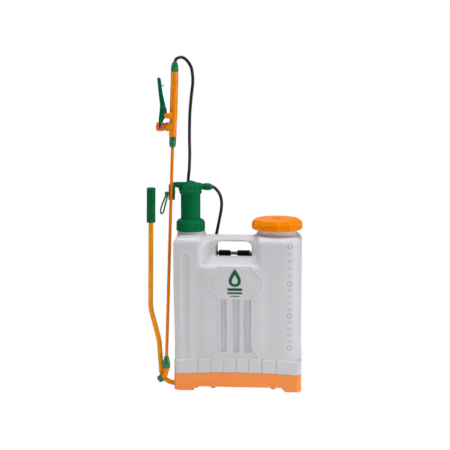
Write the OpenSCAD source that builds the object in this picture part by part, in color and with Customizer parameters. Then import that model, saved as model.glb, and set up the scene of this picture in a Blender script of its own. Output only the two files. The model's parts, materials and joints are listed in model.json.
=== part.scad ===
// Lever-operated backpack sprayer: tank on an orange base, piston pump with air
// chamber, side lever, hose, trigger gun with lance, and shoulder straps.
// Millimetres. Origin: middle of the base on the ground. +X right seen from the
// outer face, +Y towards the wearer's back, +Z up.

/* [Tank] */
// Width of the tank and base
tank_w = 367; // [364:1:370]
// Depth of the tank and base
tank_d = 176; // [174:1:180]
// Height of the tank's top above the ground
tank_top = 446; // [444:1:448]
// Wall thickness of the blow-moulded tank
wall = 3.5; // [2.5:0.5:3.5]
// Radius of the upright corners
corner_r = 28; // [24:1:32]
// Radius of the upright corners of the base and the lower band
base_r = 16; // [14:1:20]
// Rounding of the top edge
top_r = 18; // [14:1:20]

/* [Filler] */
// Outside diameter of the filler cap
cap_d = 146; // [142:1:147]
// Outside diameter of the filler neck
neck_d = 114; // [110:1:116]
// Sideways place of the filler
filler_x = 113; // [110:1:114]

/* [Pump] */
// Outside diameter of the air chamber column
column_d = 56.5; // [54:0.5:58]
// Outside diameter of the union nut
union_d = 83; // [81:0.5:86]
// Bore of the pump barrel
barrel_bore = 40; // [38:0.5:42]

/* [Lever] */
// Outside diameter of the lever tube
lever_d = 14; // [13:0.5:14]
// Diameter of the hand grip
grip_d = 25; // [22:1:28]
// Length of the hand grip
grip_len = 100; // [80:1:110]
// Throw of the crank
crank_r = 56; // [55:0.5:56]

/* [Lance] */
// Outside diameter of the lance tube
lance_d = 9; // [8:0.5:9]
// Diameter of the gun handle
gun_d = 21.8; // [20:0.2:23]
// Outside diameter of the hose
hose_d = 9; // [8.5:0.5:9]

/* [Straps] */
// Width of the strap webbing
web_w = 36; // [30:1:38]
// Width of the shoulder pads
pad_w = 60; // [50:1:64]

/* [Hidden] */
$fn = 64;

// tank and base
tank_mid_x = 3.5;        // middle of the tank's width
outer_y = -tank_d/2;     // outer face
floor_z = 66;            // underside of the tank floor
skirt_inset = 3.5;       // from the band's face to the skirt's inside
arch_r = 2300;           // arched seam between tank and base
arch_z = 54.6;           // its highest point
band_z = 95;             // highest point of the lower band
filler_rim_z = 478;
pump_rim_z = 466;
screw_xy = [[-150, 62], [150, 62], [150, -30], [-70, -30]];
screw_boss_r = 7;

// hand opening under the carrying handle
handle_x = -11;
handle_w = 99;
handle_z0 = 371.5;
handle_z1 = 427;

// pump axis, and lever shaft axis along X
pump_x = -137;
pump_y = -8;
shaft_y = -58;
shaft_z = 13;
bracket_x = [-174, -118, -68, 106];  // middles of the shaft brackets
bracket_w = 12;
bracket_bore = 8.5;                  // radius
rest_angle = 40;                     // crank angle above level at rest
crank_x = pump_x - 12;               // middle of the crank plate
crank_pin_y = shaft_y + crank_r*cos(rest_angle);
crank_pin_z = shaft_z + crank_r*sin(rest_angle);
slot_z = crank_pin_z + 0.6;          // middle of the crosshead slot at rest

// lance frame: origin at the lower nut, Z up along the lance
lance_at = [-203, -78, 62];
lance_turn = [-5.8, 1.35, 0];

// strap anchor bar and hooks
anchor_y = 42;
anchor_z = 381;
anchor_half = handle_w/2 + 12;  // half the bar's length
hook_x = [-124, 95.5];
hook_y = 97;
hook_z = 30;

// ---------- shapes ----------
module rounded_rect(x, y, r) {
  square([x - 2*r, y], center = true);
  square([x, y - 2*r], center = true);
  for (i = [-1, 1], j = [-1, 1]) translate([i*(x/2 - r), j*(y/2 - r)]) circle(r);
}

// outline with only the two top corners rounded, from z0 to z1
module round_top_rect(width, z0, z1, r) {
  translate([-width/2, z0]) square([width, z1 - r - z0]);
  translate([-width/2 + r, z0]) square([width - 2*r, z1 - z0]);
  for (i = [-1, 1]) translate([i*(width/2 - r), z1 - r]) circle(r);
}

// round-ended slot; the length is between the end centres
module slot_shape(length, width) {
  square([length, width], center = true);
  for (i = [-1, 1]) translate([i*length/2, 0]) circle(width/2);
}

module slab(x, y, r, z0, z1) translate([0, 0, z0]) linear_extrude(z1 - z0) rounded_rect(x, y, r);

// slab with the outline of the base, drawn in on every side
module tank_slab(inset, z0, z1) translate([tank_mid_x, 0, 0])
  slab(tank_w - 2*inset, tank_d - 2*inset, base_r - inset, z0, z1);

// box with rounded upright corners and a rounded top edge
module soft_box(x, y, r, z0, z1, edge_r) intersection() {
  slab(x, y, r, z0, z1);
  along_y(y + 4) round_top_rect(x, z0 - 1, z1, edge_r);
  along_x(x + 4) round_top_rect(y, z0 - 1, z1, edge_r);
}

// cylinders along each axis, by their two ends
module x_cyl(r, x0, x1) translate([x0, 0, 0]) rotate([0, 90, 0]) cylinder(r = r, h = x1 - x0);
module y_cyl(r, y0, y1) translate([0, y1, 0]) rotate([90, 0, 0]) cylinder(r = r, h = y1 - y0);
module z_cyl(r, z0, z1) translate([0, 0, z0]) cylinder(r = r, h = z1 - z0);
module z_cone(r0, r1, z0, z1) translate([0, 0, z0]) cylinder(r1 = r0, r2 = r1, h = z1 - z0);

module ring(outer, inner, h) difference() {
  cylinder(r = outer, h = h);
  z_cyl(inner, -1, h + 1);
}
module z_ring(outer, inner, z, h) translate([0, 0, z]) ring(outer, inner, h);
module x_ring(outer, inner, x, h) translate([x, 0, 0]) rotate([0, 90, 0]) ring(outer, inner, h);

// copies turned evenly about Z
module around(count, start = 0) for (i = [0:count - 1]) rotate(start + i*360/count) children();

// cylinders in a circle of radius `at`
module z_cyl_ring(count, at, r, z0, z1)
  around(count) translate([at, 0, 0]) z_cyl(r, z0, z1);
module x_cyl_ring(count, at, r, x0, x1, start = 0) for (i = [0:count - 1])
  rotate([start + i*360/count, 0, 0]) translate([0, 0, at]) x_cyl(r, x0, x1);

// extrude a side outline (y, z) along X, centred
module along_x(width) rotate([90, 0, 90]) linear_extrude(width, center = true) children();
// extrude a front outline (x, z) along Y, centred
module along_y(width) rotate([90, 0, 0]) linear_extrude(width, center = true) children();

// everything below the arched seam, grown by `extra`
module arch(extra) translate([0, 0, arch_z - arch_r]) rotate([90, 0, 0])
  cylinder(r = arch_r + extra, h = 400, center = true, $fn = 96);

// ---------- places ----------
module at_filler() translate([filler_x, 0, 0]) children();
module at_pump() translate([pump_x, pump_y, 0]) children();
module at_shaft() translate([0, shaft_y, shaft_z]) children();
module at_screws() for (xy = screw_xy) translate([xy[0], xy[1], 0]) children();
module at_anchor() translate([handle_x, anchor_y, anchor_z]) children();
module on_lance() translate(lance_at) rotate(lance_turn) children();

// ---------- curves and swept tubes ----------
function unit(v) = v/norm(v);

function tangents(line) = let (last = len(line) - 1)
  [for (i = [0:last]) unit(line[min(i + 1, last)] - line[max(i - 1, 0)])];

// Catmull-Rom curve between `from` and `to`
function blend(before, from, to, after, t) = 0.5*((2*from) + (to - before)*t
  + (2*before - 5*from + 4*to - after)*t*t + (3*from - before - 3*to + after)*t*t*t);

// smooth line through the points, n steps to each span
function spline(points, n) = let (last = len(points) - 1) concat(
  [for (i = [0:last - 1], j = [0:n - 1])
    blend(points[max(i - 1, 0)], points[i], points[i + 1], points[min(i + 2, last)], j/n)],
  [points[last]]);

// m points in a circle round every point of the line; `side` is square to it there
function hoops(line, side, r, m) = let (along = tangents(line))
  [for (i = [0:len(line) - 1], j = [0:m - 1])
    line[i] + r*(cos(j*360/m)*side[i] + sin(j*360/m)*cross(along[i], side[i]))];

// triangles between the hoops that start at points `from` and `to`
function strip(from, to, m, inward = false) = [for (j = [0:m - 1])
  let (a = from + j, b = from + (j + 1)%m, c = to + j, d = to + (j + 1)%m)
  each inward ? [[a, b, c], [b, d, c]] : [[a, c, b], [b, c, d]]];

// triangles over n hoops, the first of them starting at point `from`
function skin(from, n, m, inward = false) =
  [for (i = [0:n - 2]) each strip(from + i*m, from + (i + 1)*m, m, inward)];

// solid rod along a line in the x-z plane
module sweep_rod(line, r, m) {
  n = len(line);
  polyhedron(
    points = hoops(line, [for (p = line) [0, 1, 0]], r, m),
    faces = concat([[for (j = [0:m - 1]) j]],
      [[for (j = [m - 1:-1:0]) (n - 1)*m + j]],
      skin(0, n, m)));
}

module sweep_tube(line, outer, inner, m) {
  n = len(line);
  along = tangents(line);
  // side direction carried along the line by projection
  side = [for (i = 0, v = unit(cross(along[0], [0, 1, 0.2])); i < n;
    i = i + 1, v = i < n ? unit(v - (v*along[i])*along[i]) : v) v];
  polyhedron(
    points = concat(hoops(line, side, outer, m), hoops(line, side, inner, m)),
    faces = concat(skin(0, n, m), skin(n*m, n, m, true),
      strip(0, n*m, m, true),
      strip((n - 1)*m, (2*n - 1)*m, m)));
}

// A bent path starts at the origin heading up Z and turns in the x-z plane.
// Its rows are [0, straight length] or [degrees turned towards +X, bend radius].

// puts children at the end of a bent path
module walk(path, i = 0) {
  if (i == len(path)) children();
  else {
    turn = path[i][0];
    size = path[i][1];
    centre = size*sign(turn);
    if (turn == 0) translate([0, 0, size]) walk(path, i + 1) children();
    else translate([centre, 0, 0]) rotate([0, turn, 0]) translate([-centre, 0, 0])
      walk(path, i + 1) children();
  }
}

// the same path as points; bends are cut in steps of 8 degrees or less
function trace(path, i = 0, at = [0, 0], heading = 0) =
  i == len(path) ? [[at[0], 0, at[1]]] :
  let (turn = path[i][0], size = path[i][1])
  turn == 0 ? concat([[at[0], 0, at[1]]],
    trace(path, i + 1, at + size*[sin(heading), cos(heading)], heading)) :
  let (swing = sign(turn)*size, steps = ceil(abs(turn)/8), end = heading + turn,
    centre = at + swing*[cos(heading), -sin(heading)])
  concat(
    [for (k = [0:steps - 1]) let (angle = heading + turn*k/steps)
      [centre[0] - swing*cos(angle), 0, centre[1] + swing*sin(angle)]],
    trace(path, i + 1, centre + swing*[-cos(end), sin(end)], end));

// ---------- tank ----------
// cut across the handle by a side outline (y, z)
module handle_cut(inset) translate([-13, 0, 0]) along_x(150 + 2*inset) children();

// bulge on the outer face
module outer_bulge(inset) intersection() {
  translate([-14.5, outer_y + 32 + inset, 0]) slab(187 - 2*inset, 64, 26 - inset, 100 + inset, 400);
  rotate([90, 0, 90]) translate([0, 0, -150]) linear_extrude(300)
    polygon([[outer_y - 2, 90], [outer_y - 2, 366 - inset], [-82, 369 - inset],
      [-30, 391 - inset], [-30, 90]]);
}

// the tank's body, drawn in by `inset` on every side
module tank_form(inset, bulge = true) difference() {
  union() {
    translate([tank_mid_x, 2, 0])
      soft_box(tank_w - 2 - 2*inset, tank_d - 4 - 2*inset, corner_r - inset,
        40, tank_top - inset, top_r - inset);
    if (bulge) outer_bulge(inset);
  }
  // step in front of the handle, with the sloping ledge
  handle_cut(inset) polygon([[-120, 366 - inset], [-83, 368 - inset],
    [-38 + inset, 388 - inset], [-38 + inset, 480], [-120, 480]]);
  // step behind the handle
  handle_cut(inset) polygon([[140, 356 - inset], [88, 356 - inset],
    [44 - inset, 374 - inset], [44 - inset, 480], [140, 480]]);
  // handle bar a little lower than the shoulders
  handle_cut(inset) polygon([[-120, 440 - inset], [140, 440 - inset], [140, 480], [-120, 480]]);
  // hand opening; its lower corners are tight so that the strap loops pass
  translate([handle_x, 0, (handle_z0 + handle_z1)/2]) along_y(400) {
    height = handle_z1 - handle_z0;
    rounded_rect(handle_w + 2*inset, height + 2*inset, 13 + inset);
    translate([0, -height/4])
      rounded_rect(handle_w + 2*inset, height/2 + 2*inset, 1.5 + inset);
  }
}

module tank_outside() {
  tank_form(0);
  // lower band
  intersection() {
    tank_slab(0, 40, 110);
    translate([0, 0, band_z - arch_z]) arch(0);
  }
  at_filler() {
    z_cyl(neck_d/2 + 5, tank_top - 6, tank_top + 4);
    z_cyl(neck_d/2, tank_top - 6, filler_rim_z);
  }
  at_pump() {
    z_cyl(42.5, tank_top - 6, tank_top + 3);
    z_cyl(38.2, tank_top - 6, pump_rim_z);
  }
  at_screws() z_cyl(screw_boss_r, 30, floor_z + 1);
}

module tank_cavity() difference() {
  intersection() {
    tank_form(wall, false);
    translate([-300, -200, floor_z + 4]) cube([600, 400, 500]);
  }
  // raised land for the pump foot
  at_pump() z_cyl(40, floor_z, floor_z + 6);
  // solid sockets for the ends of the strap anchor bar
  at_anchor() x_cyl(9.5, -anchor_half - 4, anchor_half + 4);
}

// room outside the skirt and below the seam, where the base's wall stands
module seam_cut() difference() {
  translate([tank_mid_x, 0, 0]) slab(tank_w + 2, tank_d + 2, base_r, -1, 59);
  translate([tank_mid_x, 0, 0])
    slab(tank_w - 7.1, tank_d - 7.1, base_r - skirt_inset, -2, 78);
  difference() {
    translate([-300, -200, 0]) cube([600, 400, 100]);
    arch(0.2);
  }
}

// rectangle with a round bulge on each side
module panel_shape(x, y, r, side_r) {
  rounded_rect(x, y, r);
  for (i = [-1, 1]) translate([i*46, 2]) circle(side_r);
}

module outer_face_grooves() {
  // three upright slots and the left channel
  for (x = [-36, -3, 31]) translate([x, outer_y, 193.5]) along_y(7) rounded_rect(15, 151, 3);
  translate([-147, outer_y + 4, 249]) along_y(4) rounded_rect(19, 300, 9);
  // outline of the badge panel
  translate([-4, outer_y, 0]) along_y(1.6) translate([0, 314]) difference() {
    panel_shape(100, 92, 6, 33);
    panel_shape(97, 89, 5, 31.4);
  }
  // upright grooves in the lower band
  for (x = [-110, -74, -36, -1, 36, 73, 114])
    translate([x, outer_y, 74]) cube([1.8, 2.4, 60], center = true);
}

module tank_shell() color("gainsboro") difference() {
  tank_outside();
  tank_cavity();
  // inside of the skirt under the floor
  difference() {
    tank_slab(skirt_inset, 0, floor_z);
    at_screws() z_cyl(screw_boss_r, 30, 80);
  }
  seam_cut();
  // necks
  at_filler() z_cyl(neck_d/2 - 4, tank_top - 12, tank_top + 48);
  at_pump() z_cyl(35, tank_top - 12, tank_top + 48);
  // gland bore, screw holes and anchor bar bore
  at_pump() z_cyl(12, floor_z - 1, floor_z + 9);
  at_screws() z_cyl(1.9, 29, 49);
  at_anchor() x_cyl(5.03, -anchor_half - 0.05, anchor_half + 0.05);
  outer_face_grooves();
}

module filler_strainer() color("white") at_filler() difference() {
  union() {
    z_cyl(neck_d/2 - 0.5, filler_rim_z, filler_rim_z + 1.6);
    z_cyl(neck_d/2 - 5, 400, filler_rim_z);
  }
  z_cyl(neck_d/2 - 7, 402, 502);
  // side windows and floor holes
  around(12) translate([0, -5, 408]) cube([80, 10, 54]);
  z_cyl_ring(6, 28, 8, 395, 405);
}

module strap_anchor_bar() color("darkgray") at_anchor() x_cyl(5, -anchor_half, anchor_half);

// ---------- base ----------
tray_inset = 3.45;   // edge of the deck and foot plates
collar_inset = 6.5;  // inside of the collar

module bracket_blocks(height) for (x = bracket_x)
  translate([x - bracket_w/2, shaft_y - 13, 3]) cube([bracket_w, 26, height]);

module shaft_bore() at_shaft() x_cyl(bracket_bore, -200, 130);

module tray_solids() {
  // outer wall
  intersection() {
    difference() {
      tank_slab(0, 0, 60);
      tank_slab(skirt_inset, -1, 61);
    }
    arch(0);
  }
  // collar inside the tank skirt, with its wider foot
  difference() {
    tank_slab(3.75, 30, 60);
    tank_slab(collar_inset, 29, 61);
  }
  difference() {
    tank_slab(tray_inset, 26, 42);
    tank_slab(collar_inset, 25, 43);
  }
  // deck and foot plates
  tank_slab(tray_inset, 26, 30);
  tank_slab(tray_inset, 0, 4);
  bracket_blocks(25);
  // stiffening ribs
  for (y = [-20, 30]) translate([-100, y - 1.5, 14]) cube([260, 3, 13]);
  // strap hook lugs and their pins on the back
  for (x = hook_x) {
    for (i = [-1, 1]) translate([x + i*10 - 2, tank_d/2 - 4, 22]) cube([4, 14, 16]);
    translate([x, hook_y, hook_z]) x_cyl(3, -10, 10);
  }
}

module base_tray() color("coral") {
  difference() {
    tray_solids();
    // open underneath, between the four feet
    along_y(300) polygon([[-124, -5], [-124, 0], [-115, 12], [130, 12], [141, 0], [141, -5]]);
    along_x(500) polygon([[-34, -5], [-34, 0], [-26, 9], [34, 9], [42, 0], [42, -5]]);
    translate([-115, -80, -1]) cube([245, 160, 6]);
    // crank well
    translate([pump_x - 22, -72, 20]) cube([34, 90, 20]);
    shaft_bore();
    at_screws() z_cyl(2.4, 20, 32);
  }
  // rest under the middle of the tray, open at the back
  difference() {
    translate([-25, -8, 0]) cube([50, 46, 27]);
    translate([-22, -5, 4]) cube([44, 50, 21]);
  }
  // brackets put back where the open underside cut them
  difference() {
    bracket_blocks(24);
    shaft_bore();
  }
}

module base_screws() color("silver") at_screws() {
  z_cyl(1.88, 26, 46);
  // slotted head
  difference() {
    z_cyl(4.6, 23, 26);
    translate([-0.7, -4, 22]) cube([1.4, 8, 2.2]);
  }
}

module shaft_bushes() color("dimgray") at_shaft() for (x = bracket_x)
  x_ring(bracket_bore - 0.02, lever_d/2 + 0.04, x - bracket_w/2, bracket_w);

// ---------- filler cap ----------
vent_r = 6.05;
cap_under_z = 481.95;  // underside of the cap's top
cap_skirt_z = 462;     // lower edge of the cap
// outline (radius, z)
cap_outline = [[0, 488], [11, 488], [11, 490.4], [40, 490.8], [58, 489.5], [65, 485],
  [cap_d/2, 477], [cap_d/2, 465], [cap_d/2 - 2, cap_skirt_z],
  [neck_d/2 + 0.5, cap_skirt_z], [neck_d/2 + 0.5, cap_under_z], [0, cap_under_z]];

module filler_cap() color("orange") at_filler() difference() {
  rotate_extrude() polygon(cap_outline);
  // flats and flutes round the rim
  around(12, 15) translate([cap_d/2 + 1.2, -9, 458]) cube([6, 18, 18]);
  z_cyl_ring(12, cap_d/2 + 3.4, 5, 458, 477);
  z_cyl(vent_r + 0.05, 470, 500);
}

module cap_gasket() color("dimgray") at_filler()
  z_ring(neck_d/2 - 1, neck_d/2 - 12, filler_rim_z + 1.62, 2.28);

module cap_vent_valve() color("darkorange") at_filler() difference() {
  union() {
    z_cyl(vent_r, 470, 488);
    z_cyl(9.5, 488.02, 489.62);
    // joins the stem to the head
    z_cyl(vent_r, 487.9, 488.9);
    z_cyl(8, 470, 478);
  }
  z_cyl(3, 469, 483);
  z_cyl(0.8, 480, 492);
}

// ---------- pump ----------
barrel_z = floor_z + 6;         // foot of the barrel
bore_z = barrel_z + 4;          // bottom of the bore
gasket_z = pump_rim_z + 3;
column_z = gasket_z + 2;        // foot of the air chamber
flange_r = 37.5;                // flanges and gasket at the rim
ball_r = 7;
seat_r = 5;                     // hole under the delivery ball
seat_z = 184;
stop_pin_z = 206;
seal_r = 8.9;                   // outside of the rod seal
// outlet on the head: pointing right, dipping and turned to the back
outlet_z = 585;
outlet_dip = 4;
outlet_turn = 15;
// lance holder arm on the head
arm_y = -4;
arm_z = 588.5;

module at_outlet() at_pump()
  translate([0, 0, outlet_z]) rotate([0, outlet_dip, outlet_turn]) children();
module at_arm() at_pump() translate([0, arm_y, arm_z]) children();

module pump_barrel() color("whitesmoke") at_pump() difference() {
  union() {
    z_cyl(33, barrel_z, bore_z);
    z_cyl(barrel_bore/2 + 3, barrel_z, seat_z);
    z_cyl(15, 180, 464);
    z_cyl(flange_r, pump_rim_z, gasket_z);
    z_cone(15, 28, 454, 467);
  }
  z_cyl(barrel_bore/2, bore_z, 176);
  z_cyl(9, 71, 79);
  z_cyl(seat_r, 170, 190);
  z_cyl(11, seat_z, 484);
  // inlet ports
  around(6) translate([barrel_bore/2 - 3, -4, 78]) cube([10, 8, 7]);
  // stop pin hole
  translate([0, 0, stop_pin_z]) y_cyl(1.5, -20, 20);
}

module pump_gasket() color("dimgray") at_pump() z_ring(flange_r, 25, gasket_z, 2);

module pump_column() color("darkgreen") at_pump() difference() {
  union() {
    z_cyl(flange_r, column_z, column_z + 6);
    z_cyl(column_d/2, column_z, 570);
  }
  z_cyl(column_d/2 - 3, 470, 580);
}

// outline (radius, z)
union_outline = [[38.3, 455], [union_d/2 - 1, 455], [union_d/2, 457], [union_d/2, 480],
  [union_d/2 - 2.5, 486], [union_d/2 - 6.5, 489.6], [union_d/2 - 9, 490],
  [column_d/2 + 0.2, 490], [column_d/2 + 0.2, 477.05], [38.3, 477.05]];

module pump_union_nut() color("green") at_pump() difference() {
  rotate_extrude() polygon(union_outline);
  z_cyl_ring(24, union_d/2 + 0.9, 1.8, 450, 478);
}

// quarter ellipse (radius, z), stopping short of the axis
function dome_arc(r, height) = [for (a = [0:11.25:78.75]) [r*cos(a), 573 + height*sin(a)]];

module pump_head() color("green") difference() {
  union() {
    at_pump() {
      z_cyl(column_d/2 - 3.02, 556, 571);
      z_cyl(32, 570, 574);
      // ribbed dome
      rotate_extrude() polygon(concat([[0, 572]], dome_arc(28.2, 26), [[0, 599]]));
      around(16, 7) along_y(2.8) polygon(concat([[4, 572]], dome_arc(29.8, 27.6)));
    }
    // left arm for the lance holder
    at_arm() x_cyl(8, -41, -20);
    // right arm for the hose
    at_outlet() {
      x_cyl(8.5, 20, 40);
      x_cyl(6.2, 40, 54);
      x_cyl(2.95, 53, 60.5);
    }
  }
  at_pump() rotate_extrude() polygon([[0, 550], [21, 550], [21, 578], [15, 590], [0, 594]]);
  at_arm() x_cyl(5.02, -44, -32);
  at_outlet() x_cyl(2, 10, 70);
}

module rod_seal() color("black") at_pump() z_ring(seal_r, 5.03, floor_z + 0.1, 8);

module gland_nut() color("lightgray") at_pump() difference() {
  union() {
    z_cyl(15, 59.6, 65.9, $fn = 6);
    z_cyl(11.9, 60, 71.9);
  }
  z_cyl(seal_r + 0.05, floor_z, floor_z + 10);
  z_cyl(5.1, 55, 75);
}

module inlet_strainer() color("silver") at_pump() difference() {
  z_ring(27, barrel_bore/2 + 3.05, bore_z + 0.1, 14);
  z_ring(26, barrel_bore/2 + 2, 77.5, 11);
  around(18) translate([20, -1.5, 78.5]) cube([10, 3, 9]);
}

module delivery_ball() color("silver") at_pump()
  translate([0, 0, seat_z + 0.01 + sqrt(ball_r*ball_r - seat_r*seat_r)]) sphere(r = ball_r);

module ball_stop_pin() color("silver") at_pump()
  translate([0, 0, stop_pin_z]) y_cyl(1.48, -14.8, 14.8);

// ---------- piston ----------
piston_z = 128;
piston_top = piston_z + 14;
groove_z = piston_z + 5;  // seal groove, 4 high
stud_r = 4;

module crosshead() color("silver") translate([pump_x, pump_y, slot_z]) difference() {
  translate([-6, -18, -9.25]) cube([12, 36, 18.5]);
  translate([-7, -13, -5.75]) cube([14, 26, 11.5]);
  z_cyl(3.02, 5, 15);
}

module piston_rod() color("silver") at_pump() {
  z_cyl(4.98, slot_z + 9.27, piston_z);
  z_cyl(3, slot_z + 5.76, slot_z + 9.76);
  z_cyl(stud_r - 0.02, piston_z - 1, piston_top + 8);
}

module piston() color("whitesmoke") at_pump() difference() {
  z_cyl(barrel_bore/2 - 0.08, piston_z, piston_top);
  z_cyl(stud_r, 120, 160);
  difference() {
    z_cyl(30, groove_z, groove_z + 4);
    z_cyl(barrel_bore/2 - 2.6, groove_z, groove_z + 4);
  }
  z_cyl_ring(6, 11, 2.6, 120, 160);
}

module piston_seal() color("black") at_pump()
  z_ring(barrel_bore/2 - 0.03, barrel_bore/2 - 2.55, groove_z + 0.05, 3.9);

module piston_nut() color("silver") at_pump() difference() {
  union() {
    z_cyl(5.6, piston_top, piston_top + 6);
    z_cyl(7, piston_top + 4, piston_top + 8, $fn = 6);
  }
  z_cyl(stud_r, 140, 152);
}

module piston_valve_disc() color("black") at_pump() z_ring(15, 5.68, piston_top + 0.02, 1.6);

// ---------- lever ----------
lever_x = -180;    // left end of the shaft, where the lever bends up
split_pin_x = 118;
lock_pin_r = 2;    // radius of the crank's cross hole
crank_pin_r = 3.5;
lever_path = [[86.5, 40], [0, 74], [-10.7, 156], [0, 67], [15, 130], [0, 329]];

// lever frame: Z out to the left along the shaft, X up
module at_lever() translate([lever_x, shaft_y, shaft_z]) rotate([0, -90, 0]) children();
// crank frame: +Y along the arm
module at_crank() translate([crank_x, shaft_y, shaft_z]) rotate([rest_angle, 0, 0]) children();
module lock_pin_hole() at_crank() z_cyl(lock_pin_r, -20, 20);

module lever_tube() color("goldenrod") difference() {
  union() {
    at_lever() sweep_rod(trace(lever_path), lever_d/2, 28);
    at_shaft() x_cyl(lever_d/2, lever_x, 123);
  }
  lock_pin_hole();
  translate([split_pin_x, shaft_y, shaft_z]) z_cyl(1.5, -20, 20);
}

module lever_grip() color("darkgreen")
  at_lever() walk(lever_path) translate([0, 0, -grip_len + 2]) difference() {
    union() {
      z_cyl(grip_d/2, 0, grip_len - 2);
      z_cone(grip_d/2, grip_d/2 - 1.5, grip_len - 2.01, grip_len - 0.01);
    }
    z_cyl(lever_d/2 + 0.03, -1, grip_len - 1.9);
    z_cyl_ring(12, grip_d/2 + 0.8, 1.8, 8, grip_len - 8);
  }

module crank_arm() color("silver") difference() {
  at_crank() {
    x_cyl(8.4, -3, 3);
    translate([-3, 0, -5]) cube([6, crank_r, 10]);
    translate([0, crank_r, 0]) {
      x_cyl(6.5, -3, 3);
      x_cyl(crank_pin_r, -3, 17.5);
    }
  }
  at_crank() x_cyl(lever_d/2, -4, 4);
  lock_pin_hole();
}

module crank_roller() color("white")
  translate([pump_x, crank_pin_y, crank_pin_z]) x_ring(5, crank_pin_r + 0.05, -5.5, 11);

module crank_lock_pin() color("silver") at_crank() z_cyl(lock_pin_r - 0.02, -8.6, 8.6);

module shaft_washer() color("silver") at_shaft() x_ring(8.4, lever_d/2 + 0.02, 112.6, 1.6);

module shaft_split_pin() color("silver")
  translate([split_pin_x, shaft_y, shaft_z]) z_cyl(1.48, -9, 9);

// ---------- hose ----------
// world place of a point in the lance frame
function lance_point(p) = let (
    tilt = lance_turn[0],
    lean = lance_turn[1],
    y = p[1]*cos(tilt) - p[2]*sin(tilt),
    z = p[1]*sin(tilt) + p[2]*cos(tilt))
  lance_at + [p[0]*cos(lean) + z*sin(lean), y, -p[0]*sin(lean) + z*cos(lean)];

// world place of a point on the outlet's axis
function outlet_point(along) = [
  pump_x + along*cos(outlet_dip)*cos(outlet_turn),
  pump_y + along*cos(outlet_dip)*sin(outlet_turn),
  outlet_z - along*sin(outlet_dip)];

// centre line (x, y, z) from the outlet, down the back and up to the gun
hose_points = concat(
  [for (along = [54.9, 62, 67]) outlet_point(along)],
  [[-61.5, 13, 570], [-53.4, 20, 554.5], [-50.3, 30, 535.7], [-51.5, 42, 514.4],
   [-56.1, 56, 491.4], [-63.1, 74, 460], [-70, 88, 430], [-77, 94, 400],
   [-84, 96, 350], [-88, 96, 300], [-99, 96, 264], [-117, 96, 264],
   [-130, 96, 300], [-140, 96, 380], [-147, 94, 440], [-151, 80, 500],
   [-152, 60, 565], [-149.5, 51, 600], [-145.8, 45, 633], [-143.9, 40, 676],
   [-144, 35, 723], [-142, 30, 788], [-137, 26, 842], [-132.8, 24, 875],
   [-132.4, 22, 896], [-135, 20, 918], [-139.2, 19, 929], [-146.2, 18, 940],
   [-155.4, 16, 948.7], [-164, 14.5, 952], [-172, 13, 950.5], [-178.6, 12, 946.5]],
  [for (p = [[0.2, 0, 881], [0, 0, 874], [0, 0, 860.4]]) lance_point(p)]);

module hose() color("#22262a") sweep_tube(spline(hose_points, 4), hose_d/2, 3.3, 14);

module outlet_nut() color("green") at_outlet() difference() {
  union() {
    x_cyl(10.4, 40.1, 54);
    translate([54, 0, 0]) rotate([0, 90, 0]) cylinder(r1 = 10.4, r2 = 6.9, h = 10);
  }
  x_cyl(6.22, 40, 55);
  x_cyl(hose_d/2 + 0.9, 50, 70);
  x_cyl_ring(8, 11.2, 2, 39, 53);
}

// ---------- lance holder ----------
holder_z = 505;  // height of the clip's stud along the lance

module lance_holder() color("green") difference() {
  union() {
    on_lance() {
      translate([-7.5, -4, 487]) cube([17.5, 22, 45]);
      // stud for the clip strap
      translate([0, 2, holder_z]) {
        x_cyl(4, -16.5, -7);
        x_cyl(5.6, -18, -16.5);
      }
    }
    at_arm() x_cyl(5, -51.5, -33.1);
  }
  // channel for the lance, open to the front
  on_lance() {
    channel_r = lance_d/2 + 0.25;
    translate([-channel_r, -20, 480]) cube([2*channel_r, 20, 60]);
    z_cyl(channel_r, 480, 540);
  }
}

module clip_strap() color("darkgreen") on_lance() translate([-11.6, 2, holder_z]) {
  x_ring(6.2, 4.08, -1.5, 3);
  rotate([0, 14, 0]) difference() {
    union() {
      translate([-1.2, -2.5, -30]) cube([2.4, 5, 25]);
      translate([0, 0, -43]) rotate([0, 90, 0])
        linear_extrude(2.4, center = true) slot_shape(22, 9);
    }
    translate([0, 0, -43]) rotate([0, 90, 0])
      linear_extrude(6, center = true) slot_shape(19, 4.4);
  }
}

// ---------- gun ----------
// heights along the lance
valve_z = 696;
hose_end_z = 852;  // top of the gun handle
// trigger pivot
pivot_x = -18;
pivot_z = 727;

module at_valve() on_lance() translate([0, 0, valve_z]) children();

module gun_body() color("orange") on_lance() difference() {
  union() {
    z_cyl(gun_d/2, 667, 852.5);
    z_cyl(6.6, 649, 669);
    z_cyl(6.4, hose_end_z, 860);
    z_cyl(3.1, hose_end_z, 878);
    // two ribs along the right side of the handle
    for (i = [-1, 1]) translate([0, i*2.6 - 1, 740]) cube([gun_d/2 + 0.8, 2, 100]);
    // valve boss
    translate([0, 0, valve_z]) x_cyl(11, -28, -5);
    // trigger lug
    translate([-24, -5, 719]) cube([20, 10, 16]);
  }
  // upper bore, passage, valve chamber, seat and lower bore
  z_cyl(5, 708, 848);
  translate([-6.5, 0, 0]) z_cyl(2.4, valve_z, valve_z + 14);
  translate([0, 0, valve_z]) {
    x_cyl(6.5, -24, -4);
    x_cyl(3, -5, 4);
  }
  translate([1, 0, 0]) z_cyl(2.8, 640, valve_z);
  // hose bore, stem hole and pivot hole
  z_cyl(2, 845, 885);
  translate([0, 0, valve_z]) x_cyl(2.56, -30, -20);
  translate([pivot_x, 0, pivot_z]) y_cyl(2.5, -20, 20);
  // socket for the lance
  z_cyl(lance_d/2 + 0.03, 640, 660);
}

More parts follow.
